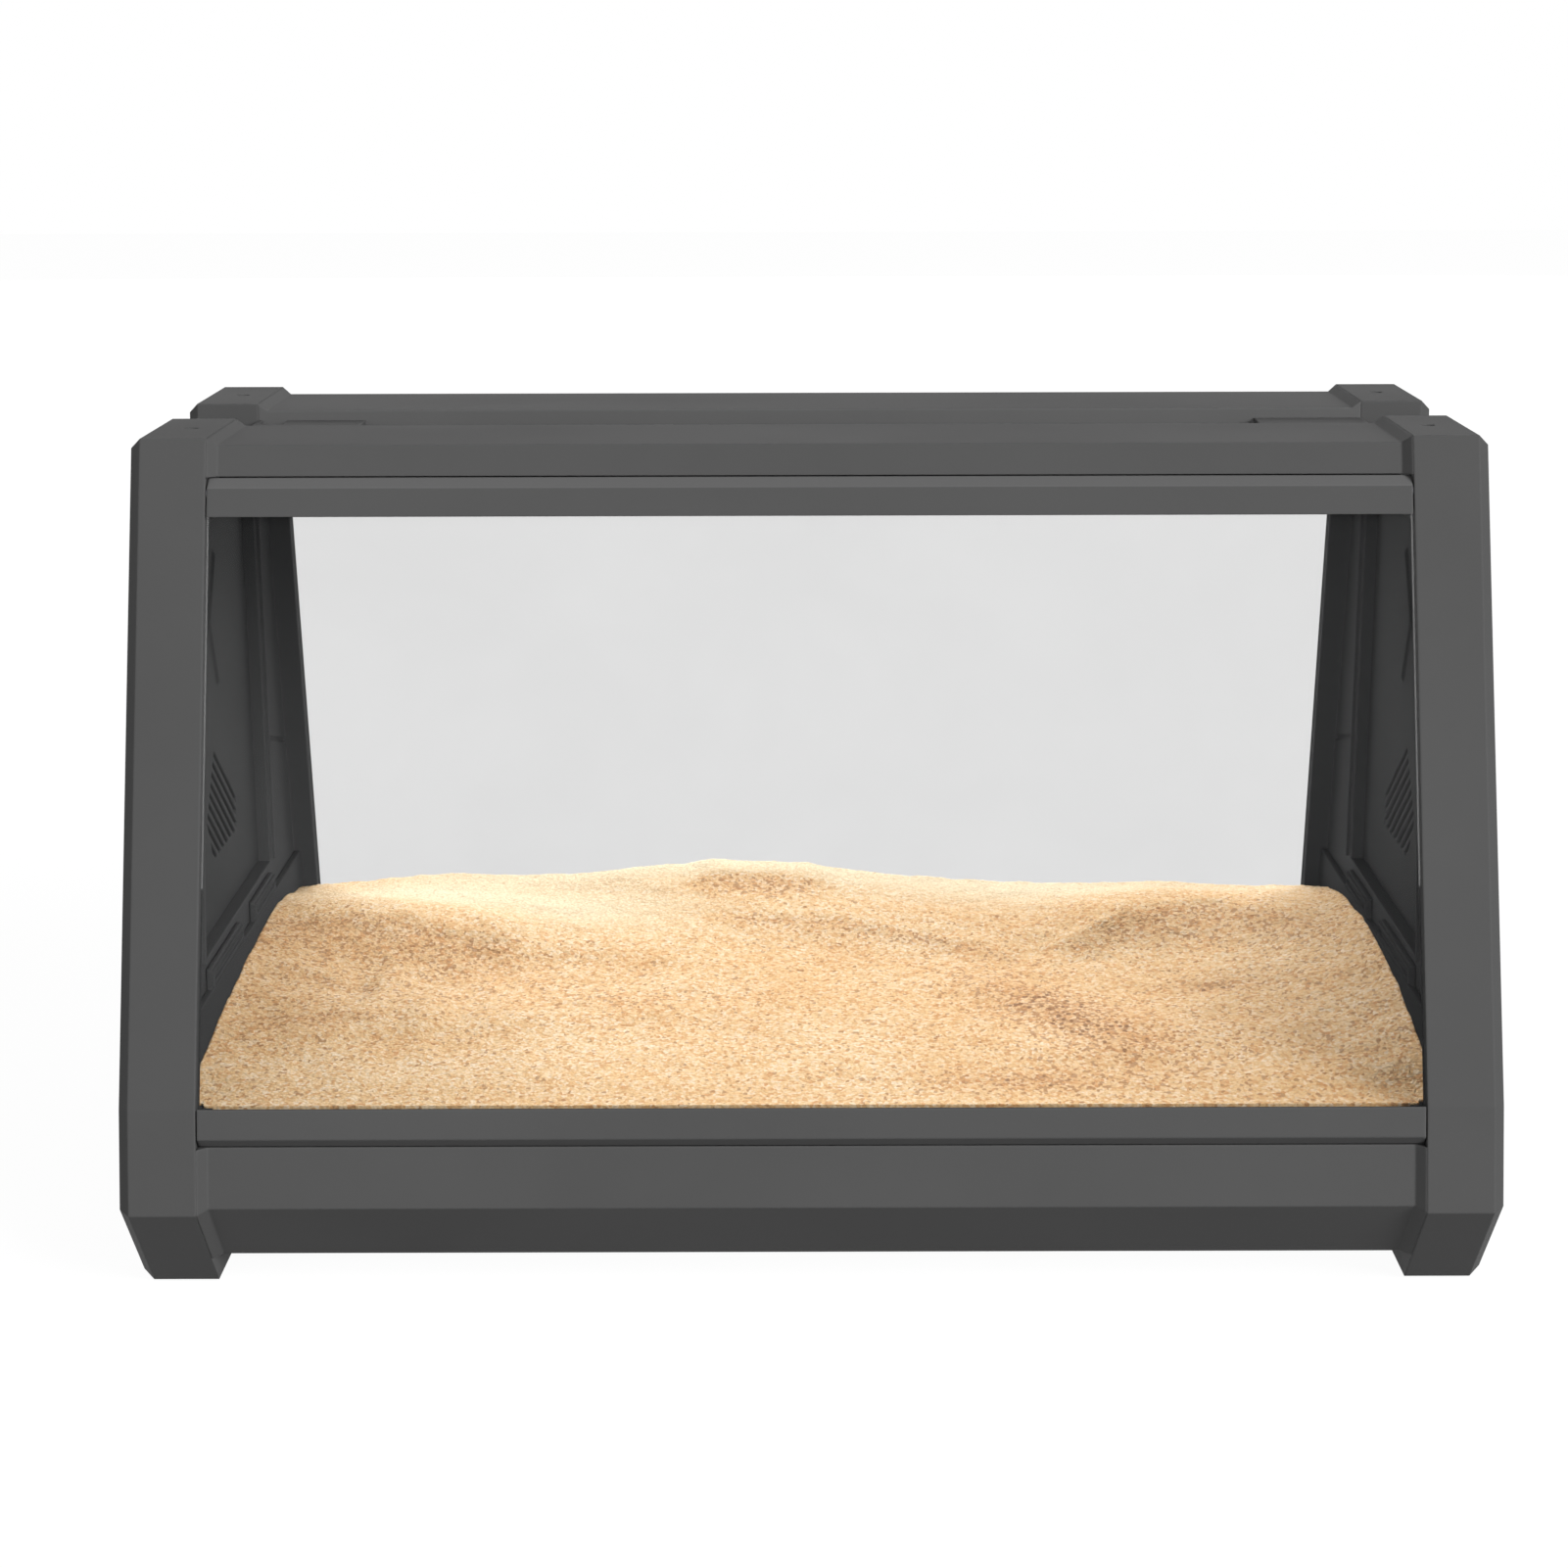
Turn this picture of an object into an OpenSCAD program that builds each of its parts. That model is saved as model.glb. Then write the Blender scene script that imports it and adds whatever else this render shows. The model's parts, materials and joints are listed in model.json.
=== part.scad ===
// Reptile terrarium: two moulded end frames carry a base tray, two top rails,
// a clear front door, a clear rear window and a hatch in the valley of the roof.
// X runs to the right, Y to the rear and Z up, from the middle of the footprint.

/* [Overall] */
// Width over the two end frames
overall_w = 400; // [360:5:560]
// Height of the end blocks above the ground
overall_h = 250; // [240:1:280]
// Half depth at the widest corner
corner_half = 148.4; // [146:0.2:152]
// Height of the widest corner
corner_z = 32.2; // [30:0.2:36]
// Set-back of the flat of the feet behind the widest corner
foot_set = 37.4; // [33:0.2:42]
// Set-back of the slope's start behind the widest corner
kink_set = 4.7; // [2.5:0.1:7]
// Height of the lower face, from the widest corner to the slope
face_h = 30.6; // [29:0.2:33]
// Half depth over the end blocks at the top
block_half = 83; // [80:1:90]
// Half width of the valley along the roof
valley_half = 24; // [22:0.5:28]

/* [End frames] */
// Thickness of an end frame
frame_t = 22.5; // [20:0.5:28]
// Bevel round the outer edge of an end frame
outer_bevel = 3; // [2:0.5:5]
// Depth of the valley at the end frames
valley_drop = 8.5; // [7:0.5:11]
// Length of a foot along the depth
foot_len = 31; // [24:1:40]
// Height of the arch between the feet
arch_rise = 6; // [4:0.5:8]
// Full-thickness rim left round the cabin recess
rim_w = 8; // [7:0.5:11]
// Depth of the cabin recess in the inner face
leg_set = 7.5; // [6:0.5:9]
// Height of the vent opening's sill
vent_sill_z = 89; // [86:1:96]
// Drop from the blocks to the top of the vent opening
vent_top_drop = 28; // [26:1:40]
// Half width of the vent opening at its sill
vent_half_low = 71.5; // [62:0.5:76]
// Half width of the vent opening at its top
vent_half_high = 56; // [50:0.5:60]
// Distance of the accessory holes from the outer face
acc_hole_set = 13.5; // [11:0.5:15]
// Radius of the accessory holes in the blocks
acc_hole_r = 2.2; // [1.5:0.1:3]
// Depth of the accessory holes
acc_hole_depth = 7; // [4:0.5:10]
// Height of the groove across the legs inside
seam_z = 130; // [120:1:150]
// Fall of that groove towards the slope
seam_fall = 8; // [0:0.5:12]
// Width of the groove
seam_w = 1.8; // [1:0.1:2.5]
// Depth of the groove
seam_depth = 1; // [0.5:0.1:1.5]
// Width of the rib beside the vent opening
leg_rib_w = 1.2; // [0.8:0.1:2]
// Distance of that rib from the opening
leg_rib_set = 4; // [3:0.5:6]

/* [Vent panels] */
// Distance from the frame's inner face to the panel
panel_set = 11.5; // [10:0.5:14]
// Thickness of a vent panel
panel_t = 3; // [2:0.5:4]
// Width of the lip that the panel rests against
panel_lip = 4; // [3:0.5:6]
// Slope of the vent slots, in degrees
slot_angle = 29; // [20:1:35]
// Width of a vent slot
slot_w = 1.9; // [1.5:0.1:2.2]
// Distance from slot to slot
slot_pitch = 3.7; // [3.6:0.1:4.2]
// Number of vent slots
slot_count = 9; // [4:1:9]
// Height of the slots' upper end over the vent opening's sill
slot_rise = 55; // [50:1:60]
// Height of the raised rhombus
rhomb_h = 44; // [30:1:50]
// Width of the raised rhombus
rhomb_w = 30; // [20:1:36]
// Height of the rhombus on the panel
rhomb_t = 0.9; // [0.5:0.1:1.2]
// Height of its middle over the vent opening's sill
rhomb_rise = 96; // [88:1:104]

/* [Base tray] */
// Depth of the recessed faces between the end frames
relief = 3; // [2:0.5:3.5]
// Wall thickness of the tray
tray_wall = 3; // [2.5:0.5:4]
// Height of the tray's underside
tray_bottom_z = 11.5; // [9:0.5:15]
// Thickness of the ledge that stops the door
stop_t = 4; // [3:0.5:5]
// Height of that ledge above its shelf
stop_h = 8.7; // [7:0.5:9]
// Height of the rims that stand in the end frames' recesses
rim_z = 80; // [78:1:82]
// Thickness of those rims
rim_t = 2; // [1.5:0.5:3]
// Height of the snap bars on the rims
snap_h = 6.5; // [5:0.5:8]
// Thickness of a snap bar
snap_t = 1.4; // [1:0.1:2]
// Height of the two ridges on a snap bar
snap_ridge = 1; // [0.6:0.1:1.5]

/* [Roof] */
// Drop from the blocks to the top of the rails
top_drop = 2.2; // [1.5:0.1:3]
// Wall thickness of the rails
rail_wall = 2.5; // [2:0.5:3]
// Drop from the blocks to the end decks
deck_drop = 5.4; // [4.5:0.1:6.5]
// Drop from the blocks to the ledges in the valley
ledge_drop = 11; // [10.5:0.1:12]
// Width of the ledges
ledge_w = 4; // [3:0.5:5]
// Thickness of the ledges
ledge_t = 2.5; // [2:0.5:3.5]
// Set-back of the light stop under a rail, behind the slope
stop_rib_set = 6.2; // [6:0.1:6.6]
// Height of that light stop
stop_rib_h = 1.4; // [0.8:0.1:1.6]
// Half length of the hatch opening
hatch_half = 143; // [100:1:150]
// Thickness of the hatch lid
lid_t = 3.6; // [3.2:0.1:4]
// Width of a slot in the hatch lid
lid_slot_w = 3; // [2:0.5:4]
// Length of a slot in the hatch lid
lid_slot_len = 30; // [20:1:32]
// Distance between the lid's slots
lid_slot_pitch = 7; // [6:0.5:10]
// Room kept free of slots at each end of the lid
lid_slot_set = 14; // [10:1:20]
// Half length of the lid's finger rib
pull_half = 14; // [10:1:20]
// Thickness of the finger rib
pull_t = 2.5; // [2:0.5:4]
// Distance of the finger rib from the lid's front edge
pull_set = 1.5; // [1:0.5:4]
// Depth of the finger rib's top below the rails
pull_sink = 1; // [0.5:0.5:2]
// Gap behind the lid's hinge edge
lid_rear_gap = 0.8; // [0.5:0.1:1.5]
// Radius of the hatch hinge pins
lid_pin_r = 1; // [0.8:0.1:1.1]
// Reach of a hatch pin into a deck
lid_pin_reach = 5; // [4:0.5:8]
// Width of the cable notch in the left deck
notch_w = 8; // [5:0.5:12]
// Length of the cable notch
notch_len = 12; // [8:0.5:16]
// Distance of the cable notch from the end frame
notch_set = 1.5; // [1:0.5:4]

/* [Front door and rear window] */
// Drop from the blocks to the top edge of the lip
lip_drop = 14.2; // [13:0.1:16]
// Height of the lip's face
lip_h = 8.2; // [7.5:0.1:10]
// Rise of the lip's upper bevel
lip_bevel = 2.7; // [2:0.1:3]
// Depth of the lip and its glazing groove
lip_depth = 7; // [6.5:0.1:8]
// Height of the bottom strip
strip_h = 8.7; // [8:0.1:10]
// Depth of the bottom strip
strip_depth = 6.5; // [6.5:0.1:7.5]
// Fall of the strip's upper face towards the inside
strip_fall = 1.8; // [1:0.1:2]
// Thickness of the clear sheets
pane_t = 3; // [2:0.5:3]
// Set-back of the clear sheets from the slope
pane_set = 2; // [1.8:0.1:2.2]
// Depth of the sheets in their grooves
pane_bite = 4; // [2:0.5:4]
// Radius of the door's hinge pins
door_pin_r = 1.5; // [1:0.1:1.5]
// Reach of a hinge pin into the end frame
door_pin_reach = 6; // [4:0.5:7]
// Set-back of the door's hinge axis from the slope
axis_set = 3; // [2.8:0.1:3.2]
// Drop from the lip's top edge to the hinge axis
axis_drop = 1.8; // [1.6:0.1:2]

/* [Small parts] */
// Length of a door magnet
magnet_len = 20; // [10:1:40]
// Height of a door magnet
magnet_h = 5; // [3:0.5:5]
// Thickness of a door magnet
magnet_t = 2; // [1:0.1:2]
// Distance of the magnets from the middle
magnet_x = 120; // [60:1:140]
// Radius of the frame screws
screw_r = 2; // [1.5:0.1:2]
// Length of the frame screws under the head
screw_len = 32; // [28:1:40]
// Radius of a screw head
head_r = 4; // [3:0.1:4]
// Thickness of a screw head
head_t = 2.6; // [2:0.1:3]
// Height of the frame screws in the base
base_screw_z = 41; // [38:0.5:44]
// Half distance between the frame screws in the rails
rail_screw_y = 68; // [64:0.5:72]
// Depth of those screws below the middle of the rails
rail_screw_sink = 1; // [0.5:0.1:1.4]
// Height that a foot pad stands out of its foot
pad_out = 0.8; // [0.5:0.1:2]
// Depth of a foot pad in its foot
pad_in = 1.2; // [0.8:0.1:2]
// Rim of the foot left round a pad
pad_margin = 3.5; // [3:0.5:6]

/* [Sand bed] */
// Height of the sand along the front
sand_front_z = 62.3; // [58:0.1:64]
// Rise of the dunes
sand_rise = 10; // [0:0.5:11]
// Rise of the bed towards its rear left corner
sand_left_rise = 9.1; // [0:0.1:10]
// Rise of the bed towards its rear right corner
sand_right_rise = 2.9; // [0:0.1:10]
// Rise of the sand against the side walls
sand_bank = 11; // [0:0.5:12]
// Share by which the right bank is higher and the left one lower
sand_lean = 0.4; // [0:0.1:0.5]

/* [Clearances] */
// Gap round pieces that move or drop in
gap = 0.3; // [0.2:0.05:0.35]
// Gap at each end of the door
door_gap = 0.4; // [0.3:0.05:0.6]
// Radial clearance of a turning pin
pin_play = 0.05; // [0.02:0.01:0.09]

/* [Hidden] */

shell_grey = "#55565A";
lid_grey = "#4C4D51";
eps = 0.01;

// Planes along X, measured from the middle
outer_x = overall_w / 2;
inner_x = outer_x - frame_t;
leg_x = inner_x + leg_set;
panel_x = inner_x + panel_set;
lip_x = panel_x + panel_t;
rim_x = leg_x - gap;
door_x = inner_x - door_gap;

// Points of the side profile that several pieces share
foot_z = pad_out;
foot_half = corner_half - foot_set;
kink_half = corner_half - kink_set;
kink_z = corner_z + face_h;

// Heights that several pieces share
rail_top_z = overall_h - top_drop;
deck_z = overall_h - deck_drop;
ledge_z = overall_h - ledge_drop;
lip_top_z = overall_h - lip_drop;
lip_low_z = lip_top_z - lip_h;
bevel_top_z = lip_top_z + lip_bevel;
strip_low_z = kink_z - strip_h;
shelf_z = strip_low_z - relief;
stop_top_z = shelf_z + stop_h;
cabin_floor_z = tray_bottom_z + tray_wall;
recess_low_z = stop_top_z - rim_t;
recess_top_z = lip_low_z - lip_bevel;
vent_top_z = overall_h - vent_top_drop;

// Half depths that several pieces share
arch_half = foot_half - foot_len;
strip_in = kink_half - strip_depth;
stop_out = strip_in - gap;
stop_in = stop_out - stop_t;
ledge_in = valley_half - ledge_w;

// Lines of the side profile on the rear half, moved inwards by d
function unit(v) = v / norm(v);
function inward(a, b) = [-unit(b - a)[1], unit(b - a)[0]];
function moved(a, b, d) = [a + inward(a, b) * d, b + inward(a, b) * d];
function cross2(u, v) = u[0] * v[1] - u[1] * v[0];
function meet(l, m) =
    let (u = l[1] - l[0], v = m[1] - m[0])
    l[0] + u * cross2(m[0] - l[0], v) / cross2(u, v);
function at_z(l, z) = [l[0][0] + (l[1][0] - l[0][0]) * (z - l[0][1]) / (l[1][1] - l[0][1]), z];
function at_y(l, y) = [y, l[0][1] + (l[1][1] - l[0][1]) * (y - l[0][0]) / (l[1][0] - l[0][0])];
foot_pt = [foot_half, foot_z];
corner_pt = [corner_half, corner_z];
kink_pt = [kink_half, kink_z];
block_pt = [block_half, overall_h];
function under_line(d) = moved(foot_pt, corner_pt, d);
function lower_line(d) = moved(corner_pt, kink_pt, d);
function slope_line(d) = moved(kink_pt, block_pt, d);
function slope(d, z) = at_z(slope_line(d), z);
function lower(d, z) = at_z(lower_line(d), z);

// Closed outlines as points in Y and Z
function flipped(p) = [-p[0], p[1]];
function turned(list) = [for (k = [len(list) - 1:-1:0]) flipped(list[k])];
function both_halves(list) = concat(list, turned(list));
function inset_ring(p, d) =
    let (n = len(p))
    [for (k = [0:n - 1]) meet(moved(p[(k + n - 1) % n], p[k], d), moved(p[k], p[(k + 1) % n], d))];
frame_ring = both_halves([foot_pt, corner_pt, kink_pt, block_pt]);
valley_ring = both_halves([
    [valley_half, overall_h - valley_drop], [valley_half, overall_h + outer_bevel]]);
arch_ring = both_halves([
    [arch_half, foot_z - eps], [arch_half - arch_rise, foot_z + arch_rise]]);
recess_ring = both_halves([slope(rim_w, recess_low_z), slope(rim_w, recess_top_z)]);
vent_ring = both_halves([[vent_half_low, vent_sill_z], [vent_half_high, vent_top_z]]);
seam_start = vent_half_low + leg_rib_set;
seam_ring = [
    [seam_start, seam_z], slope(rim_w, seam_z - seam_fall),
    slope(rim_w, seam_z - seam_fall + seam_w), [seam_start, seam_z + seam_w]];
leg_rib_end = leg_rib_set + leg_rib_w;
leg_rib_ring = [
    [vent_half_low + leg_rib_set, vent_sill_z], [vent_half_low + leg_rib_end, vent_sill_z],
    [vent_half_high + leg_rib_end, vent_top_z], [vent_half_high + leg_rib_set, vent_top_z]];
function rim_ring(top_z) = both_halves([slope(rim_w + gap, recess_low_z), slope(rim_w + gap, top_z)]);
function tray_ring(d) = both_halves([
    at_z(under_line(d), tray_bottom_z), meet(under_line(d), lower_line(d)), lower(d, shelf_z),
    [stop_out, shelf_z], [stop_out, stop_top_z]]);
function sand_ring(d, top_z) = both_halves([
    at_z(under_line(relief + tray_wall + d), cabin_floor_z + d),
    at_y(under_line(relief + tray_wall + d), stop_in - d),
    [stop_in - d, top_z]]);
function rail_ring(d, top_z) = [
    slope(d, bevel_top_z + gap), slope(d, top_z), [valley_half, top_z], [valley_half, ledge_z],
    [ledge_in, ledge_z], [ledge_in, ledge_z - ledge_t], [valley_half + rail_wall, ledge_z - ledge_t]];
rail_hollow = [
    slope(relief + rail_wall, bevel_top_z), slope(relief + rail_wall, rail_top_z - rail_wall),
    [valley_half + rail_wall, rail_top_z - rail_wall],
    [valley_half + rail_wall, ledge_z - ledge_t - eps],
    slope(relief + rail_wall, ledge_z - ledge_t - eps)];
stop_rib_low = bevel_top_z + gap - stop_rib_h;
stop_rib_ring = [
    slope(relief + rail_wall / 2, bevel_top_z + gap), slope(stop_rib_set, bevel_top_z + gap),
    slope(stop_rib_set, stop_rib_low), slope(stop_rib_set + rail_wall, stop_rib_low),
    slope(stop_rib_set + rail_wall, bevel_top_z + rail_wall),
    slope(relief + rail_wall / 2, bevel_top_z + rail_wall)];
lip_ring = [
    slope(lip_depth, lip_low_z), slope(0, lip_low_z), slope(0, lip_top_z),
    slope(relief, bevel_top_z), slope(lip_depth, lip_top_z)];
strip_top = [lower(0, strip_low_z), kink_pt, [strip_in, kink_z - strip_fall]];
pane_ring = [
    slope(pane_set + pane_t, kink_z - pane_bite), slope(pane_set, kink_z - pane_bite),
    slope(pane_set, lip_low_z + pane_bite), slope(pane_set + pane_t, lip_low_z + pane_bite)];

// Axes of the door and the hatch, on the rear half
door_axis = slope(axis_set, lip_top_z - axis_drop);
lid_low_z = ledge_z + gap;
lid_axis = [valley_half - lid_rear_gap - lid_t / 2, lid_low_z + lid_t / 2];

// Solids along X from an outline, and a bevel between two outlines
module along_x(ring, x0, x1)
    translate([x0, 0, 0])
        rotate([90, 0, 90])
            linear_extrude(x1 - x0)
                polygon(ring);

module bevel(ring0, ring1, x0, x1) {
    n = len(ring0);
    low = [for (p = ring0) [x0, p[0], p[1]]];
    high = [for (p = ring1) [x1, p[0], p[1]]];
    sides = [for (k = [0:n - 1]) [k, k + n, (k + 1) % n + n, (k + 1) % n]];
    caps = [[for (k = [0:n - 1]) k], [for (k = [n - 1:-1:0]) k + n]];
    polyhedron(concat(low, high), concat(caps, sides));
}

// A round bar along X
module bar(x0, x1, r, place)
    translate([x0, place[0], place[1]])
        rotate([0, 90, 0])
            cylinder(h = x1 - x0, r = r, $fn = 48);

module both_ends() {
    children();
    mirror([1, 0, 0]) children();
}

module both_sides() {
    children();
    mirror([0, 1, 0]) children();
}

module to_left() mirror([1, 0, 0]) children();

module to_front() mirror([0, 1, 0]) children();

// Places of the frame screws on the rear half
rail_screw = [rail_screw_y, (ledge_z - ledge_t + rail_top_z) / 2 - rail_screw_sink];
base_screw = [(stop_in + lower(relief, base_screw_z)[0]) / 2, base_screw_z];
screw_head_x = outer_x - outer_bevel;

module screw_holes() {
    for (place = [rail_screw, base_screw]) {
        bar(screw_head_x - screw_len - 1, screw_head_x + eps, screw_r + pin_play, place);
        bar(screw_head_x - head_t, outer_x + 1, head_r + gap, place);
    }
}

module end_frame() {
    color(shell_grey)
    union() {
        difference() {
            union() {
                along_x(frame_ring, inner_x, outer_x - outer_bevel);
                bevel(frame_ring, inset_ring(frame_ring, outer_bevel), outer_x - outer_bevel, outer_x);
            }
            along_x(valley_ring, inner_x - 1, outer_x + 1);
            bevel(valley_ring, inset_ring(valley_ring, -outer_bevel), outer_x - outer_bevel, outer_x + eps);
            along_x(arch_ring, inner_x - 1, outer_x + 1);
            along_x(recess_ring, inner_x - 1, leg_x);
            along_x(vent_ring, leg_x - eps, lip_x);
            along_x(inset_ring(vent_ring, panel_lip), lip_x - eps, outer_x + 1);
            bevel(inset_ring(vent_ring, panel_lip), inset_ring(vent_ring, eps),
                outer_x - outer_bevel, outer_x + eps);
            // groove across both legs
            both_sides() along_x(seam_ring, leg_x - 1, leg_x + seam_depth);
            // accessory holes in the blocks
            both_sides()
                translate([outer_x - acc_hole_set, (block_half + valley_half) / 2, overall_h - acc_hole_depth])
                    cylinder(h = acc_hole_depth + 1, r = acc_hole_r, $fn = 48);
            both_sides() screw_holes();
            // bearings of the door's hinge pins
            both_sides() bar(inner_x - 1, inner_x + door_pin_reach + gap, door_pin_r + pin_play, door_axis);
            // pockets of the foot pads
            both_sides() pad_block(-1);
        }
        // ribs on the legs beside the vent opening
        both_sides() along_x(leg_rib_ring, leg_x - leg_rib_w, leg_x + eps);
    }
}

// Block of one foot pad from a given height up to the roof of its pocket
module pad_block(low_z)
    translate([inner_x + pad_margin, arch_half + pad_margin, low_z])
        cube([frame_t - outer_bevel - 2 * pad_margin, foot_len - 2 * pad_margin, foot_z + pad_in - low_z]);

module foot_pads() {
    color("#2B2B2D")
    both_sides() pad_block(0);
}

// A pan-head screw with a cross recess, along X
module frame_screw(place) {
    difference() {
        union() {
            bar(screw_head_x - screw_len, screw_head_x - head_t + eps, screw_r, place);
            bar(screw_head_x - head_t, screw_head_x, head_r, place);
        }
        for (turn = [0, 90])
            translate([screw_head_x, place[0], place[1]])
                rotate([turn, 0, 0])
                    cube([head_t, head_r * 1.2, head_r * 0.3], center = true);
    }
}

module frame_screws() {
    color("#B9BBBE")
    both_sides() {
        frame_screw(rail_screw);
        frame_screw(base_screw);
    }
}

// Vent slots inside a slanted field, cut right through the panel
slot_span = slot_count * slot_pitch;
slot_top = [-slot_span / 2, vent_sill_z + slot_rise];
slot_corners = [[0, 0], [-0.54, -0.6], [-0.2, -1.02], [1.26, -1.02], [1.28, -0.63]];
slot_field = [for (p = slot_corners) slot_top + slot_span * p];
rhomb_centre = [-rhomb_w / 5, vent_sill_z + rhomb_rise];

module slots()
    intersection() {
        along_x(slot_field, panel_x - 1, lip_x + 1);
        for (k = [0:slot_count - 1])
            translate([panel_x - 1, slot_top[0], slot_top[1]])
                rotate([-slot_angle, 0, 0])
                    translate([0, -2 * slot_span, -slot_w - k * slot_pitch])
                        cube([panel_t + 2, 4 * slot_span, slot_w]);
    }

module vent_panel() {
    rhomb = [[rhomb_w / 2, 0], [0, rhomb_h / 2], [-rhomb_w / 2, 0], [0, -rhomb_h / 2]];
    placed = [for (p = rhomb) rhomb_centre + p];
    color(lid_grey)
    difference() {
        union() {
            along_x(inset_ring(vent_ring, gap), panel_x, lip_x);
            bevel(inset_ring(placed, rhomb_t), placed, panel_x - rhomb_t, panel_x + eps);
        }
        slots();
    }
}

// Ends of the snap bars along the depth, as shares of the vent opening's half width
snap_spans = [[-1, -0.13], [0.27, 0.9]];

// A snap bar with two ridges and a hook at each end
module snap_bar(span) {
    y0 = span[0] * vent_half_low;
    y1 = span[1] * vent_half_low;
    translate([rim_x - snap_t, y0, rim_z - eps])
        cube([snap_t, y1 - y0, snap_h + eps]);
    translate([rim_x - snap_t - snap_ridge, 0, rim_z]) {
        for (z = [0.1, 0.65] * snap_h)
            translate([0, y0, z])
                cube([snap_ridge + eps, y1 - y0, snap_h / 4]);
        for (y = [y0, y1 - snap_h / 4])
            translate([0, y, 0.1 * snap_h])
                cube([snap_ridge + eps, snap_h / 4, 0.7 * snap_h]);
    }
}

module base_tray() {
    bevel_x = inner_x - relief;
    color(shell_grey)
    union() {
        difference() {
            union() {
                along_x(tray_ring(relief), -bevel_x, bevel_x);
                both_ends() bevel(tray_ring(relief), tray_ring(0), bevel_x, inner_x);
            }
            along_x(sand_ring(0, rim_z), -(inner_x - tray_wall), inner_x - tray_wall);
            both_sides() both_ends() bar(inner_x - screw_len, inner_x + 1, screw_r + pin_play, base_screw);
            keeper_blocks(0);
        }
        // ledges and rims in the end frames' recesses, with their snap bars
        both_ends() {
            along_x(rim_ring(stop_top_z), inner_x - eps, rim_x);
            along_x(rim_ring(rim_z), rim_x - rim_t, rim_x);
            for (span = snap_spans) snap_bar(span);
        }
    }
}

// Sand bed with low dunes, as a height field that reaches over the tray's ledges
sand_half_x = inner_x - tray_wall - gap;
sand_wide_x = rim_x - rim_t - gap;
sand_half_y = stop_in - gap;
sand_wide_y = slope(rim_w + 2 * gap, rim_z)[0];
sand_nx = 30;
sand_ny = 18;
// Each dune's place, half lengths, rise and skew, as shares of the bed and of the sand's rise
dunes = [
    [-0.23, 0.94, 0.16, 0.35, 0.46, 0], [0.04, 0.94, 0.2, 0.35, 0.4, 0],
    [-0.75, 0.42, 0.35, 0.16, 0.35, -0.25], [-0.62, 0.05, 0.3, 0.16, -0.2, 0.3],
    [-0.72, -0.35, 0.25, 0.14, 0.22, 0.35], [0.69, 0.6, 0.3, 0.26, 0.4, -0.1],
    [0.45, -0.53, 0.25, 0.22, 0.28, 0.1], [0.1, 0.2, 0.4, 0.25, -0.25, 0]];
function fan(ring) = [for (k = [1:len(ring) - 2]) [ring[0], ring[k], ring[k + 1]]];
function ease(t) = t * t * (3 - 2 * t);
function dune_z(d, u, v) =
    let (a = (u - d[0]) / d[2], b = (v - d[1] - d[5] * (u - d[0])) / d[3])
    d[4] * exp(-a * a - b * b);
function total(list) = list * [for (k = list) 1];
function sand_z(x, y) =
    let (u = x / sand_wide_x, v = y / sand_half_y)
    sand_front_z
    + ease((v + 1) / 2) * (sand_left_rise * (1 - u) + sand_right_rise * (1 + u)) / 2
    + sand_bank * (1 + sand_lean * sign(u)) * pow(u, 6) * (1 - v * v)
    + sand_rise * total([for (d = dunes) dune_z(d, u, v)]) * min(1, 2 * (v + 1)) * (1 - pow(u, 8));

module sand_bed() {
    columns = sand_ny + 1;
    last = sand_nx + 2;
    top = [for (i = [0:last]) for (j = [0:sand_ny])
        let (wide = i == 0 || i == last)
        let (x = wide ? sign(i - 1) * sand_wide_x : (2 * (i - 1) / sand_nx - 1) * sand_half_x)
        let (y = (2 * j / sand_ny - 1) * (wide ? sand_wide_y : sand_half_y))
        [x, y, sand_z(x, y)]];
    // lower corners, from front to rear, of the two ends of the part between the tray's walls
    foot_line = under_line(relief + tray_wall + gap);
    knee = at_y(foot_line, sand_half_y);
    toe = at_z(foot_line, cabin_floor_z + gap);
    ledge = [sand_half_y, stop_top_z + gap];
    under = [flipped(ledge), flipped(knee), flipped(toe), toe, knee, ledge];
    wide_low = [[-1, -1], [-1, 1], [1, -1], [1, 1]];
    low = concat(
        [for (x = [-sand_half_x, sand_half_x]) for (p = under) [x, p[0], p[1]]],
        [for (p = wide_low) [p[0] * sand_wide_x, p[1] * sand_wide_y, ledge[1]]]);
    // numbers of the lower points
    l = len(top);
    r = l + len(under);
    w = r + len(under);
    left_end = concat([w, w + 1], [for (j = [sand_ny:-1:0]) j]);
    right_end = concat([w + 3, w + 2], [for (j = [0:sand_ny]) last * columns + j]);
    front = concat([r, l], [for (i = [1:last - 1]) i * columns]);
    rear = concat([l + 5, r + 5], [for (i = [last - 1:-1:1]) i * columns + sand_ny]);
    // strips beside the outer columns, then the lower faces
    rest = [
        [l, w, 0, columns],
        [w + 2, r, (last - 1) * columns, last * columns],
        [w + 1, l + 5, columns + sand_ny, sand_ny],
        [r + 5, w + 3, last * columns + sand_ny, (last - 1) * columns + sand_ny],
        [l, l + 5, w + 1, w], [r + 5, r, w + 2, w + 3],
        [for (k = [0:5]) l + k], [for (k = [5:-1:0]) r + k]];
    bands = [for (k = [0:4]) [l + k, r + k, r + k + 1, l + k + 1]];
    faces = concat(
        [for (i = [0:last - 1]) for (j = [0:sand_ny - 1])
            let (a = i * columns + j) [a, a + 1, a + columns + 1]],
        [for (i = [0:last - 1]) for (j = [0:sand_ny - 1])
            let (a = i * columns + j) [a, a + columns + 1, a + columns]],
        fan(left_end), fan(right_end), fan(front), fan(rear), rest, bands);
    color("#D9BC94")
    polyhedron(concat(top, low), faces);
}

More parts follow.
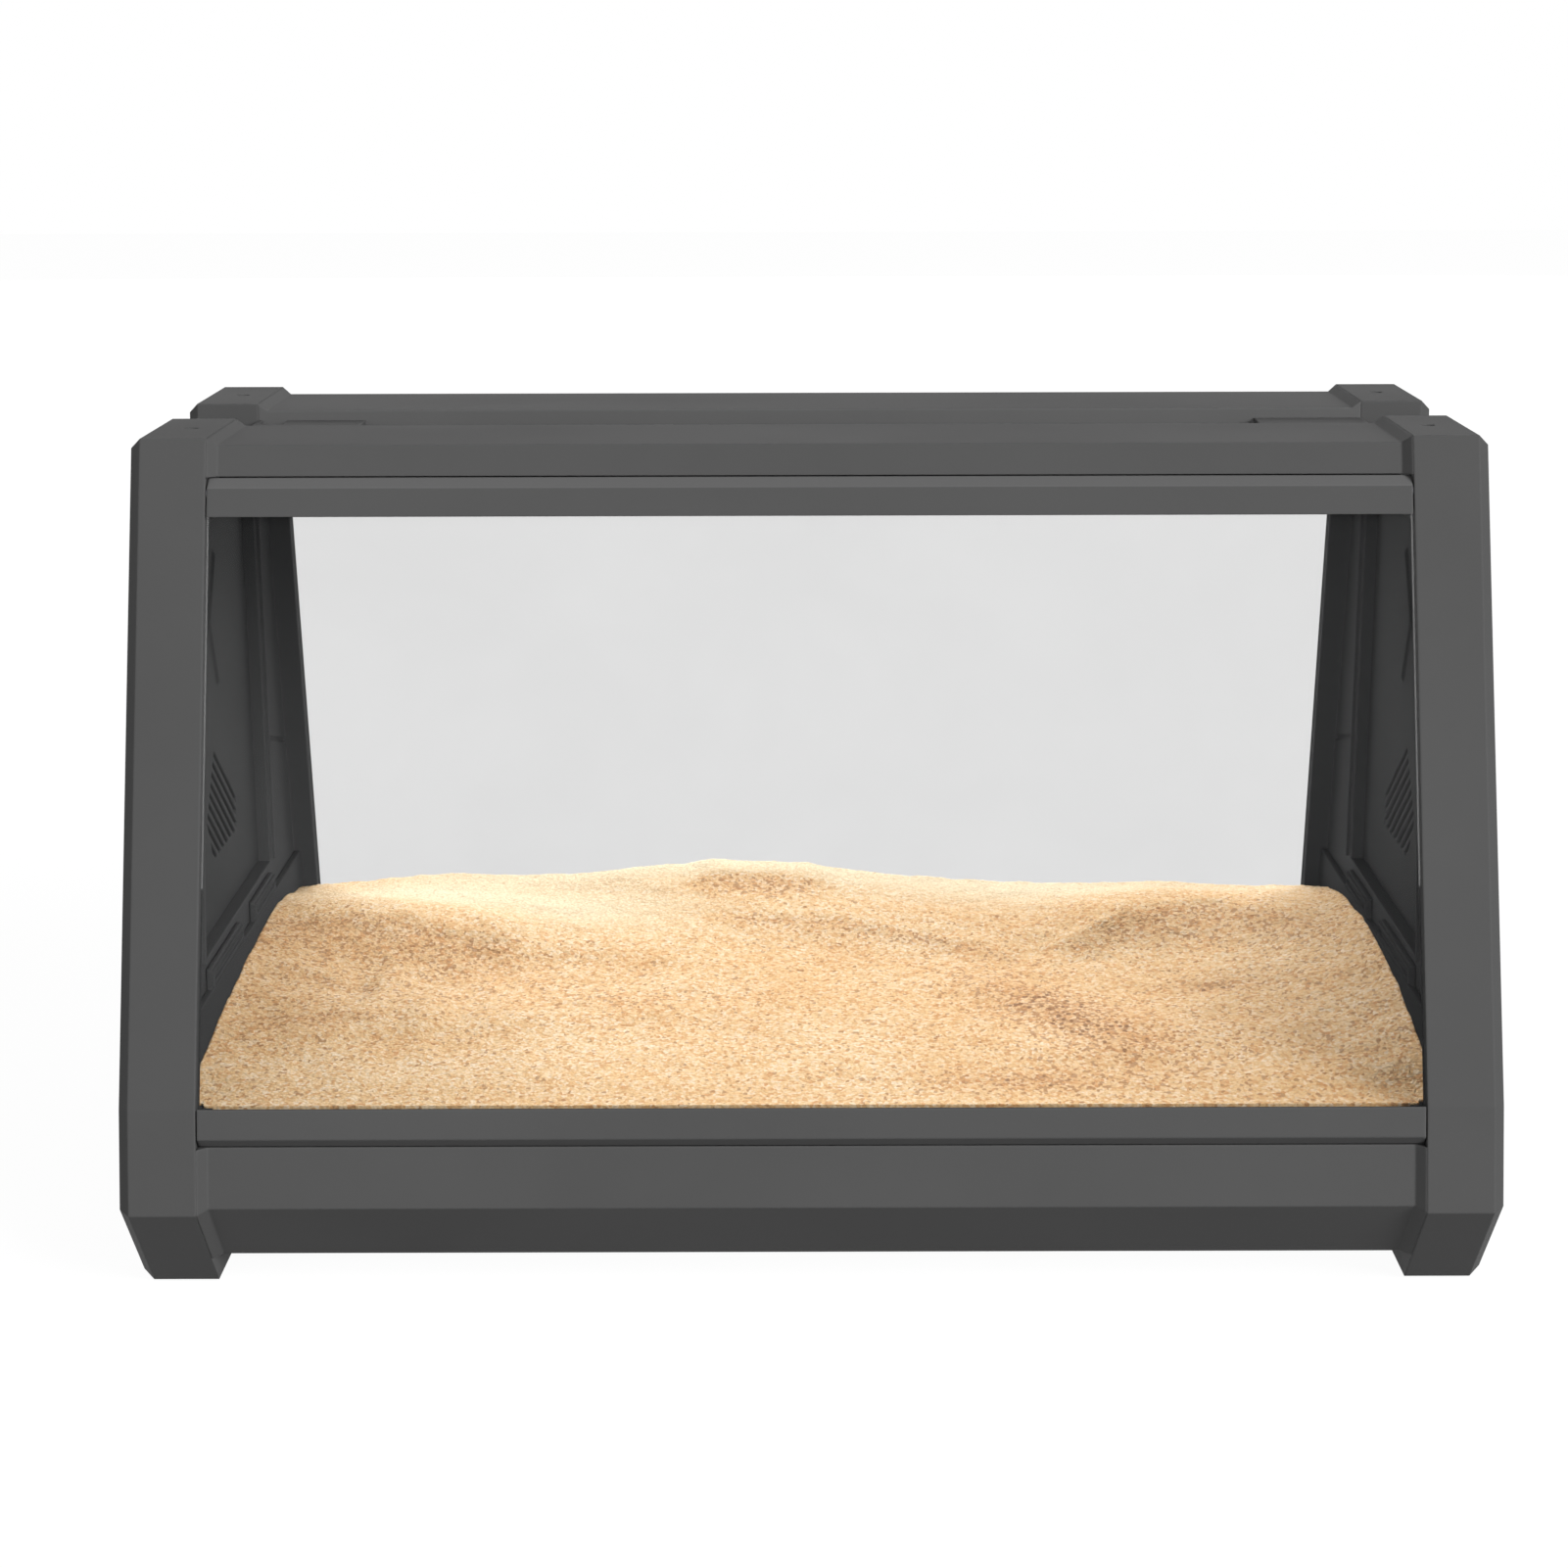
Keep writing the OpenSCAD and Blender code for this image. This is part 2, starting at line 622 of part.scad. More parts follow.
// One top rail, on the rear half
module top_rail() {
    bevel_x = inner_x - relief;
    end_x = bevel_x - 2 * relief;
    color(shell_grey)
    union() {
        difference() {
            union() {
                along_x(rail_ring(relief, rail_top_z), -bevel_x, bevel_x);
                both_ends() bevel(rail_ring(relief, rail_top_z), rail_ring(0, overall_h), bevel_x, inner_x);
            }
            difference() {
                along_x(rail_hollow, -end_x, end_x);
                // bosses that take the frame screws
                both_ends()
                    translate([end_x - screw_len, rail_screw_y - head_r, 0])
                        cube([screw_len + 1, 2 * head_r, overall_h]);
            }
            both_ends() bar(inner_x - screw_len, inner_x + 1, screw_r + pin_play, rail_screw);
        }
        // light stop behind the lip
        along_x(stop_rib_ring, -bevel_x, bevel_x);
    }
}

// Deck between the hatch and one end frame
module deck(notch) {
    color(shell_grey)
    difference() {
        translate([hatch_half, -valley_half, ledge_z])
            cube([inner_x - hatch_half, 2 * valley_half, deck_z - ledge_z]);
        if (notch)
            translate([inner_x - notch_set - notch_w, valley_half - notch_len, ledge_z - 1])
                cube([notch_w, notch_len + 1, deck_z - ledge_z + 2]);
        bar(hatch_half - 1, hatch_half + lid_pin_reach + gap, lid_pin_r + pin_play, lid_axis);
    }
}

// Lip that holds the upper edge of a clear sheet, on the rear half
module head(half_x) {
    color(shell_grey)
    difference() {
        along_x(lip_ring, -half_x, half_x);
        along_x(pane_ring, -half_x - 1, half_x + 1);
    }
}

module pane(half_x) {
    color([0.88, 0.89, 0.9, 0.35])
    along_x(pane_ring, -half_x, half_x);
}

// Strip that holds the lower edge of a clear sheet, on the rear half
module sill(half_x, seat_z) {
    seat = [[strip_in, seat_z], lower(relief, seat_z)];
    color(shell_grey)
    difference() {
        along_x(concat(seat, strip_top), -half_x, half_x);
        along_x(pane_ring, -half_x - 1, half_x + 1);
    }
}

// Magnets of the door strip and steel keepers in the tray's ledge, on the front
magnet_z = (shelf_z + gap + kink_z - pane_bite) / 2;
module magnet_blocks(grow)
    to_front() both_ends()
        translate([magnet_x - magnet_len / 2, strip_in - grow, magnet_z - magnet_h / 2])
            cube([magnet_len, magnet_t + grow, magnet_h]);

module keeper_blocks(shrink)
    to_front() both_ends()
        translate([magnet_x - magnet_len / 2, stop_out - stop_t / 2, magnet_z - magnet_h / 2])
            cube([magnet_len, stop_t / 2 + 1 - shrink, magnet_h]);

module door_keepers() {
    color("#A7A9AC")
    keeper_blocks(1);
}

module door_magnets() {
    color("#C4C6C9")
    magnet_blocks(0);
}

// Hinge pins of the door, half in the lip and half in the end frames
module door_pins(play)
    to_front() both_ends()
        bar(door_x - 2 * door_pin_reach, inner_x + door_pin_reach, door_pin_r + play, door_axis);

module door_head() {
    difference() {
        to_front() head(door_x);
        door_pins(pin_play / 2);
    }
}

module door_sill() {
    difference() {
        to_front() sill(door_x, shelf_z + gap);
        magnet_blocks(1);
    }
}

module door_hinge_pins() {
    color("#B9BBBE")
    door_pins(0);
}

// Slotted lid of the hatch, with a round hinge edge and a finger rib
lid_half_x = hatch_half - gap;
lid_front_y = -(valley_half - 2 * gap);
lid_mid_y = (lid_front_y + lid_axis[0]) / 2;
module lid_pins(play)
    both_ends()
        bar(lid_half_x - 2 * lid_pin_reach, hatch_half + lid_pin_reach, lid_pin_r + play, lid_axis);

module hatch_lid() {
    pull_h = rail_top_z - pull_sink - lid_low_z - lid_t;
    color(lid_grey)
    difference() {
        union() {
            translate([-lid_half_x, lid_front_y, lid_low_z])
                cube([2 * lid_half_x, lid_axis[0] - lid_front_y, lid_t]);
            bar(-lid_half_x, lid_half_x, lid_t / 2, lid_axis);
            translate([-pull_half, lid_front_y + pull_set, lid_low_z + lid_t - eps])
                cube([2 * pull_half, pull_t, pull_h + eps]);
        }
        both_ends()
            for (x = [pull_half + lid_slot_pitch:lid_slot_pitch:lid_half_x - lid_slot_set])
                translate([x - lid_slot_w / 2, lid_mid_y - lid_slot_len / 2, lid_low_z - 1])
                    cube([lid_slot_w, lid_slot_len, lid_t + 2]);
        lid_pins(pin_play / 2);
    }
}

module hatch_hinge_pins() {
    color("#B9BBBE")
    lid_pins(0);
}

to_left() end_frame();  // left_end_frame
end_frame();  // right_end_frame
to_left() vent_panel();  // left_vent_panel
vent_panel();  // right_vent_panel
base_tray();
sand_bed();
to_front() top_rail();  // front_top_rail
top_rail();  // rear_top_rail
to_left() deck(true);  // left_deck
deck(false);  // right_deck
head(inner_x);  // rear_window_head
pane(inner_x);  // rear_window_pane
sill(inner_x, shelf_z);  // rear_window_sill
door_keepers();
to_left() frame_screws();  // left_frame_screws
frame_screws();  // right_frame_screws
to_left() foot_pads();  // left_foot_pads
foot_pads();  // right_foot_pads
door_head();
to_front() pane(door_x);  // door_pane
door_sill();
door_magnets();
door_hinge_pins();
hatch_lid();
hatch_hinge_pins();
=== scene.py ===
"""Looks of a small reptile terrarium: moulded grey ABS, clear acrylic and a bed of loose sand."""

import json
import logging
import math
from dataclasses import dataclass, field, replace
from enum import Enum

import bpy
import numpy as np
from mathutils import Matrix, Vector

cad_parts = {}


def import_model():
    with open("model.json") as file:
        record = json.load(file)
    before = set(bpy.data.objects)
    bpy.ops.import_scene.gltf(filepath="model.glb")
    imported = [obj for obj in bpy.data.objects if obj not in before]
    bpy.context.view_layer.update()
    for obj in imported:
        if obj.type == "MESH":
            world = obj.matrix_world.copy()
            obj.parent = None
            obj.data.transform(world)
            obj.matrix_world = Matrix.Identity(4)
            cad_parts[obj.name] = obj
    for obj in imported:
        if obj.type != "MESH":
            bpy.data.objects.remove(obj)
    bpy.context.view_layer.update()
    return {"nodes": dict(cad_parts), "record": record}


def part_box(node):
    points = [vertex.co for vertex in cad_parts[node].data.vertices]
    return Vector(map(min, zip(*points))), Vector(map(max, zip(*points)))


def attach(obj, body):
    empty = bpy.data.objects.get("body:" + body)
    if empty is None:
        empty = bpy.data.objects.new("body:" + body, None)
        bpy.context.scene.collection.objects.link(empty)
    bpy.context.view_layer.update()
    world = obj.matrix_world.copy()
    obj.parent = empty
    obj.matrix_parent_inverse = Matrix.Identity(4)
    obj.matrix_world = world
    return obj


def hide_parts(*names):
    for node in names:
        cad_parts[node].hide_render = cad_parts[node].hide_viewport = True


LOG = logging.getLogger("terrarium")
MM = 0.001
ABS_IOR = 1.52
ACRYLIC_IOR = 1.49
WALL_ENDINGS = ("end_frame", "vent_panel")


class Slot(Enum):
    """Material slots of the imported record."""

    SHELL = "shell"
    PANEL = "panel"
    CLEAR = "clear"
    SAND = "sand"
    STEEL = "steel"
    MAGNET = "magnet"
    RUBBER = "rubber"


def linear(code: str) -> tuple[float, float, float, float]:
    """Turns an sRGB hex colour into linear RGBA.

    Args:
        code: Colour such as "#5D5E61".

    Returns:
        The linear colour with an alpha of 1.
    """
    parts = [int(code[k:k + 2], 16) / 255 for k in (1, 3, 5)]
    toned = [c / 12.92 if c <= 0.04045 else ((c + 0.055) / 1.055) ** 2.4 for c in parts]
    return (*toned, 1.0)


def add_node(
    tree: bpy.types.NodeTree, kind: str, links: dict | None = None, **settings
) -> bpy.types.Node:
    """Adds one shader node with its settings and links.

    Args:
        tree: Node tree that takes the node.
        kind: Blender's name of the node type, without its ShaderNode prefix.
        links: Input name or number to a value, or to the output socket that feeds it.
        settings: Attributes of the node.

    Returns:
        The new node.
    """
    node = tree.nodes.new("ShaderNode" + kind)
    for name, value in settings.items():
        setattr(node, name, value)
    for name, value in (links or {}).items():
        if isinstance(value, bpy.types.NodeSocket):
            tree.links.new(value, node.inputs[name])
        else:
            node.inputs[name].default_value = value
    return node


def new_material(name: str) -> tuple[bpy.types.Material, bpy.types.NodeTree]:
    """Makes an empty node material.

    Args:
        name: Common name of the real material and how it was made.

    Returns:
        The material and its cleared node tree.
    """
    material = bpy.data.materials.new(name)
    material.use_nodes = True
    material.node_tree.nodes.clear()
    return material, material.node_tree


def colour_ramp(node: bpy.types.Node, stops: list[tuple[float, str]]) -> None:
    """Fills a colour ramp.

    Args:
        node: Colour ramp node.
        stops: Position and sRGB hex colour of each stop.
    """
    elements = node.color_ramp.elements
    while len(elements) > 1:
        elements.remove(elements[-1])
    elements[0].position, elements[0].color = stops[0][0], linear(stops[0][1])
    for place, code in stops[1:]:
        elements.new(place).color = linear(code)


def smooth(share: np.ndarray) -> np.ndarray:
    """Share between 0 and 1 with soft ends."""
    share = np.clip(share, 0, 1)
    return share * share * (3 - 2 * share)


def grey(level: float) -> tuple[float, float, float, float]:
    """Linear grey of this level, with an alpha of 1."""
    return (level, level, level, 1.0)


def per_metre(size_mm: float) -> float:
    """Texture scale that gives a feature of this size in millimetres."""
    return 1 / (size_mm * MM)


@dataclass(frozen=True)
class MouldedAbs:
    """ABS moulded in a spark-eroded tool: a fine even grain that gives the light a soft sheen."""

    name: str
    colour: str
    worn_colour: str
    roughness: float = 0.62
    grain_mm: float = 0.9  # coarser than the real 0.1 mm, so that it shows at this distance
    cloud_mm: float = 90.0
    edge_mm: float = 0.9
    # colour of the painted highlight along the rounded edges
    edge_highlight_colour: str = "#7C7C7C"
    dust_and_top_light: float = 0.0  # share of painted light on the faces that look up
    # colour of the painted light on the faces that look up
    top_light_colour: str = "#777777"
    sheen: float = 0.06
    grain_depth_mm: float = 0.15

    def make(self) -> bpy.types.Material:
        """Builds the material."""
        material, tree = new_material(self.name)
        place = add_node(tree, "TexCoord").outputs["Object"]
        cloud = add_node(tree, "TexNoise", {"Vector": place, "Scale": per_metre(self.cloud_mm),
                                            "Detail": 4.0, "Roughness": 0.55})
        grain = add_node(tree, "TexNoise", {"Vector": place, "Scale": per_metre(self.grain_mm),
                                            "Detail": 2.0, "Roughness": 0.6})
        body = add_node(tree, "ValToRGB", {"Fac": cloud.outputs["Fac"]})
        colour_ramp(body, [(0.3, self.colour), (0.7, self.worn_colour)])
        # painted highlight: the rounded edges are a shade paler
        rounded = add_node(tree, "Bevel", {"Radius": self.edge_mm * MM}, samples=6)
        flat = add_node(tree, "NewGeometry").outputs["Normal"]
        facing = add_node(tree, "VectorMath", {0: rounded.outputs["Normal"], 1: flat},
                          operation="DOT_PRODUCT")
        edge = add_node(tree, "MapRange", {"Value": facing.outputs["Value"], "From Min": 1.0,
                                           "From Max": 0.8, "To Min": 0.0, "To Max": 0.35})
        lit = add_node(tree, "Mix", {"Factor": edge.outputs["Result"], "A": body.outputs["Color"],
                                     "B": linear(self.edge_highlight_colour)}, data_type="RGBA")
        # painted light: the faces that look up are paler
        up = add_node(tree, "SeparateXYZ", {"Vector": flat})
        lying = add_node(tree, "MapRange", {"Value": up.outputs["Z"], "From Min": 0.4,
                                            "From Max": 0.6, "To Min": 0.0, "To Max": self.dust_and_top_light})
        painted_top_light = add_node(tree, "Mix", {"Factor": lying.outputs["Result"],
                                       "A": lit.outputs["Result"],
                                       "B": linear(self.top_light_colour)}, data_type="RGBA")
        rough = add_node(tree, "MapRange", {"Value": cloud.outputs["Fac"], "From Min": 0.3,
                                            "From Max": 0.7, "To Min": self.roughness - 0.04,
                                            "To Max": self.roughness + 0.05})
        bump = add_node(tree, "Bump", {"Height": grain.outputs["Fac"], "Strength": 0.16,
                                       "Distance": self.grain_depth_mm * MM,
                                       "Normal": rounded.outputs["Normal"]})
        shader = add_node(tree, "BsdfPrincipled", {"Base Color": painted_top_light.outputs["Result"],
                                                   "Roughness": rough.outputs["Result"],
                                                   "IOR": ABS_IOR,
                                                   "Specular IOR Level": self.sheen,
                                                   "Normal": bump.outputs["Normal"]})
        add_node(tree, "OutputMaterial", {"Surface": shader.outputs["BSDF"]})
        return material


@dataclass(frozen=True)
class CastAcrylic:
    """Polished cast acrylic sheet: clear, slightly grey, and bright where it turns away."""

    name: str = "acrylic, cast and polished"
    tint: str = "#3A3C3E"
    absorbed: float = 0.065
    rim_share: float = 0.35  # of the mirror image that bare acrylic would show
    smear_mm: float = 60.0

    def make(self) -> bpy.types.Material:
        """Builds the material."""
        material, tree = new_material(self.name)
        place = add_node(tree, "TexCoord").outputs["Object"]
        smear = add_node(tree, "TexNoise", {"Vector": place, "Scale": per_metre(self.smear_mm),
                                            "Detail": 5.0, "Roughness": 0.7, "Distortion": 0.6})
        rim = add_node(tree, "Fresnel", {"IOR": ACRYLIC_IOR})
        haze = add_node(tree, "MapRange", {"Value": smear.outputs["Fac"], "From Min": 0.35,
                                           "From Max": 0.75, "To Min": self.absorbed - 0.004,
                                           "To Max": self.absorbed + 0.008})
        cover = add_node(tree, "Math", {0: rim.outputs["Fac"], 1: self.rim_share,
                                        2: haze.outputs["Result"]},
                         operation="MULTIPLY_ADD", use_clamp=True)
        rough = add_node(tree, "MapRange", {"Value": smear.outputs["Fac"], "From Min": 0.3,
                                            "From Max": 0.8, "To Min": 0.03, "To Max": 0.12})
        shader = add_node(tree, "BsdfPrincipled", {"Base Color": linear(self.tint),
                                                   "IOR": ACRYLIC_IOR,
                                                   "Roughness": rough.outputs["Result"],
                                                   "Alpha": cover.outputs["Value"]})
        add_node(tree, "OutputMaterial", {"Surface": shader.outputs["BSDF"]})
        return material


@dataclass(frozen=True)
class LooseSand:
    """Sieved desert sand: rounded quartz grains from cream to brown, browner where coarser, with
    painted shade between the grains, on the dune faces towards the front and at the ends, and
    painted light at the rear.
    """

    name: str = "quartz sand, sieved"
    grain_mm: float = 1.05  # coarser than the real 0.6 mm, so that it shows at this distance
    pebble_mm: float = 2.0
    pebble_tilt: float = 2.0
    tilt: float = 1.5  # flecks are longer along Y, as grains that lie on each other look
    drift_mm: float = 45.0
    wash_share: float = 0.6
    fleck_share: float = 0.7
    bump_mm: float = 0.35
    # tone of the painted shade on the dune faces and at the ends, and of the darker patches
    coarse_and_shade_colour: str = "#EEE2D6"
    # colour of the painted light at the rear
    painted_light_colour: str = "#FFF1CF"
    fleck_colour: str = "#A67446"
    pebble_colour: str = "#80522E"
    # colour of the painted shade between the grains
    gap_shade_colour: str = "#B98A58"

    def make(self) -> bpy.types.Material:
        """Builds the material."""
        material, tree = new_material(self.name)
        place = add_node(tree, "TexCoord").outputs["Object"]
        grains = add_node(tree, "TexVoronoi", {"Vector": place, "Scale": per_metre(self.grain_mm),
                                               "Randomness": 1.0}, feature="F1")
        stretched = add_node(tree, "Mapping", {"Vector": place, "Scale": (1.0, 1 / self.tilt, 1.0)})
        flecks = add_node(tree, "TexVoronoi", {"Vector": stretched.outputs["Vector"],
                                               "Scale": per_metre(self.grain_mm),
                                               "Randomness": 1.0})
        single = add_node(tree, "SeparateColor", {"Color": flecks.outputs["Color"]})
        tone = add_node(tree, "ValToRGB", {"Fac": single.outputs["Red"]})
        colour_ramp(tone, [(0.0, "#DDA66E"), (0.12, "#E8B981"), (0.4, "#F4CE9A"), (0.75, "#F9DBAF"),
                           (1.0, "#FFE9C9")])
        drift = add_node(tree, "TexNoise", {"Vector": place, "Scale": per_metre(self.drift_mm),
                                            "Detail": 3.0})
        wash = add_node(tree, "ValToRGB", {"Fac": drift.outputs["Fac"]})
        colour_ramp(wash, [(0.35, "#F4E6D0"), (0.6, "#FFFFFF")])
        coloured = add_node(tree, "Mix", {"Factor": self.wash_share, "A": tone.outputs["Color"],
                                          "B": wash.outputs["Color"]},
                            data_type="RGBA", blend_type="MULTIPLY")
        # painted shade: darker, with more brown flecks, on the dune faces towards the front and at
        # the ends of the bed, and in darker patches
        coarse_and_shade = add_node(tree, "Attribute", attribute_name="coarse_and_shade").outputs["Fac"]
        warm = add_node(tree, "Mix", {"Factor": coarse_and_shade, "A": coloured.outputs["Result"],
                                      "B": linear(self.coarse_and_shade_colour)},
                        data_type="RGBA", blend_type="MULTIPLY")
        # painted light: the sand is paler at the rear, where the share falls below 0
        fine = add_node(tree, "MapRange", {"Value": coarse_and_shade, "From Min": 0.0, "From Max": -1.0})
        paler = add_node(tree, "Mix", {"Factor": fine.outputs["Result"],
                                       "A": warm.outputs["Result"],
                                       "B": linear(self.painted_light_colour)}, data_type="RGBA")
        most = add_node(tree, "MapRange", {"Value": coarse_and_shade, "From Min": -0.1, "To Min": 0.0,
                                           "To Max": 0.42})
        brown = add_node(tree, "Math", {0: single.outputs["Green"], 1: most.outputs["Result"]},
                         operation="LESS_THAN")
        fleck = add_node(tree, "Math", {0: brown.outputs["Value"], 1: self.fleck_share},
                         operation="MULTIPLY")
        mixed = add_node(tree, "Mix", {"Factor": fleck.outputs["Value"],
                                       "A": paler.outputs["Result"],
                                       "B": linear(self.fleck_colour)}, data_type="RGBA")
        # small pebbles show where the sand is coarsest
        longer = add_node(tree, "Mapping", {"Vector": place,
                                            "Scale": (1.0, 1 / self.pebble_tilt, 1.0)})
        pebbles = add_node(tree, "TexVoronoi", {"Vector": longer.outputs["Vector"],
                                                "Scale": per_metre(self.pebble_mm),
                                                "Randomness": 0.8})
        pick = add_node(tree, "SeparateColor", {"Color": pebbles.outputs["Color"]})
        some = add_node(tree, "MapRange", {"Value": coarse_and_shade, "From Min": 0.58, "To Max": 0.95})
        chosen = add_node(tree, "Math", {0: pick.outputs["Green"], 1: some.outputs["Result"]},
                          operation="LESS_THAN")
        spot = add_node(tree, "MapRange", {"Value": pebbles.outputs["Distance"], "From Min": 0.48,
                                           "From Max": 0.3, "To Min": 0.0, "To Max": 0.85})
        pebble = add_node(tree, "Math", {0: chosen.outputs["Value"], 1: spot.outputs["Result"]},
                          operation="MULTIPLY")
        strewn = add_node(tree, "Mix", {"Factor": pebble.outputs["Value"],
                                        "A": mixed.outputs["Result"],
                                        "B": linear(self.pebble_colour)}, data_type="RGBA")
        # painted shade in the gaps between the grains
        gap_shade = add_node(tree, "MapRange", {"Value": grains.outputs["Distance"], "From Min": 0.4,
                                          "From Max": 0.8, "To Min": 0.0, "To Max": 0.35})
        dark = add_node(tree, "Mix", {"Factor": gap_shade.outputs["Result"],
                                      "A": strewn.outputs["Result"],
                                      "B": linear(self.gap_shade_colour)}, data_type="RGBA")
        dome = add_node(tree, "Math", {0: 1.0, 1: grains.outputs["Distance"]}, operation="SUBTRACT")
        bump = add_node(tree, "Bump", {"Height": dome.outputs["Value"], "Strength": 0.8,
                                       "Distance": self.bump_mm * MM})
        shader = add_node(tree, "BsdfPrincipled", {"Base Color": dark.outputs["Result"],
                                                   "Roughness": 0.82, "Specular IOR Level": 0.25,
                                                   "Normal": bump.outputs["Normal"]})
        add_node(tree, "OutputMaterial", {"Surface": shader.outputs["BSDF"]})
        return material


@dataclass(frozen=True)
class PlatedSteel:
    """Plated steel: a thin bright coat with faint clouding over turned marks."""

    name: str
    colour: str
    roughness: float = 0.32
    mark_mm: float = 0.5
    mark_depth_mm: float = 0.05
    cloud_mm: float = 3.0

    def make(self) -> bpy.types.Material:
        """Builds the material."""
        material, tree = new_material(self.name)
        place = add_node(tree, "TexCoord").outputs["Object"]
        cloud = add_node(tree, "TexNoise", {"Vector": place, "Scale": per_metre(self.cloud_mm),
                                            "Detail": 4.0})
        marks = add_node(tree, "TexNoise", {"Vector": place, "Scale": per_metre(self.mark_mm),
                                            "Detail": 3.0})
        rough = add_node(tree, "MapRange", {"Value": cloud.outputs["Fac"],
                                            "To Min": self.roughness - 0.1,
                                            "To Max": self.roughness + 0.14})
        bump = add_node(tree, "Bump", {"Height": marks.outputs["Fac"], "Strength": 0.2,
                                       "Distance": self.mark_depth_mm * MM})
        shader = add_node(tree, "BsdfPrincipled", {"Base Color": linear(self.colour),
                                                   "Metallic": 1.0,
                                                   "Roughness": rough.outputs["Result"],
                                                   "Normal": bump.outputs["Normal"]})
        add_node(tree, "OutputMaterial", {"Surface": shader.outputs["BSDF"]})
        return material


@dataclass(frozen=True)
class MouldedRubber:
    """Moulded nitrile rubber: nearly black, dull, with a powdery bloom."""

    name: str = "nitrile rubber, moulded"
    colour: str = "#2A2A2C"
    bloom: str = "#3D3D3F"
    bloom_mm: float = 6.0
    roughness: float = 0.78

    def make(self) -> bpy.types.Material:
        """Builds the material."""
        material, tree = new_material(self.name)
        place = add_node(tree, "TexCoord").outputs["Object"]
        dust_and_top_light = add_node(tree, "TexNoise", {"Vector": place, "Scale": per_metre(self.bloom_mm),
                                           "Detail": 5.0})
        tone = add_node(tree, "ValToRGB", {"Fac": dust_and_top_light.outputs["Fac"]})
        colour_ramp(tone, [(0.35, self.colour), (0.8, self.bloom)])
        bump = add_node(tree, "Bump", {"Height": dust_and_top_light.outputs["Fac"], "Strength": 0.3,
                                       "Distance": 0.1 * MM})
        shader = add_node(tree, "BsdfPrincipled", {"Base Color": tone.outputs["Color"],
                                                   "Roughness": self.roughness,
                                                   "Normal": bump.outputs["Normal"]})
        add_node(tree, "OutputMaterial", {"Surface": shader.outputs["BSDF"]})
        return material


@dataclass(frozen=True)
class Lamp:
    """One soft rectangular lamp, hidden from the camera: lengths in metres, power in watts."""

    name: str
    place: tuple[float, float, float]
    aim: tuple[float, float, float]
    size: tuple[float, float]
    watts: float
    mirrored: bool = True  # whether its mirror image shows

    def add(self) -> bpy.types.Object:
        """Adds the lamp to the scene."""
        data = bpy.data.lights.new(self.name, "AREA")
        data.shape = "RECTANGLE"
        data.size, data.size_y = self.size
        data.energy = self.watts
        lamp = bpy.data.objects.new(self.name, data)
        lamp.location = self.place
        beam = Vector(self.aim) - Vector(self.place)
        lamp.rotation_euler = beam.to_track_quat("-Z", "Y").to_euler()
        lamp.visible_camera = False
        lamp.visible_glossy = self.mirrored
        bpy.context.scene.collection.objects.link(lamp)
        return lamp

    def add_linked(self, lit: list[bpy.types.Object], shades: list[bpy.types.Object]) -> None:
        """Adds the lamp and keeps its light and its shadows to a few objects.

        Args:
            lit: The objects that it lights.
            shades: The objects that cast shadows in its light.
        """
        lamp = self.add()
        receivers = bpy.data.collections.new(lamp.name + " lights")
        blockers = bpy.data.collections.new(lamp.name + " shades")
        for item in lit:
            receivers.objects.link(item)
        for item in shades:
            blockers.objects.link(item)
        lamp.light_linking.receiver_collection = receivers
        lamp.light_linking.blocker_collection = blockers


KEY = Lamp("key", (3.9, -4.7, 2.6), (0, 0, 0.1), (3.0, 3.0), 342.0)
FILL = Lamp("fill", (-2.4, -4.3, 0.95), (0, 0, 0.1), (2.4, 1.6), 36.0)
# matt light only: its mirror image would whiten the tops
REAR_FILL = Lamp("rear fill", (0, 4.6, 0.55), (0, 0, 0.1), (1.6, 0.9), 50.0, mirrored=False)
SAND_LAMP = Lamp("sand lamp", (-0.1, 2.3, 2.5), (0, 0, 0.07), (3.2, 0.8), 197.0)
BOUNCE_LAMP = Lamp("bounce lamp", (0, 0, 0.05), (0, 0, 1), (0.32, 0.24), 0.09, mirrored=False)
VALLEY_LAMP = Lamp("valley lamp", (0.3, -4.2, 0.7), (0, 0, 0.24), (1.5, 0.6), 42.0)


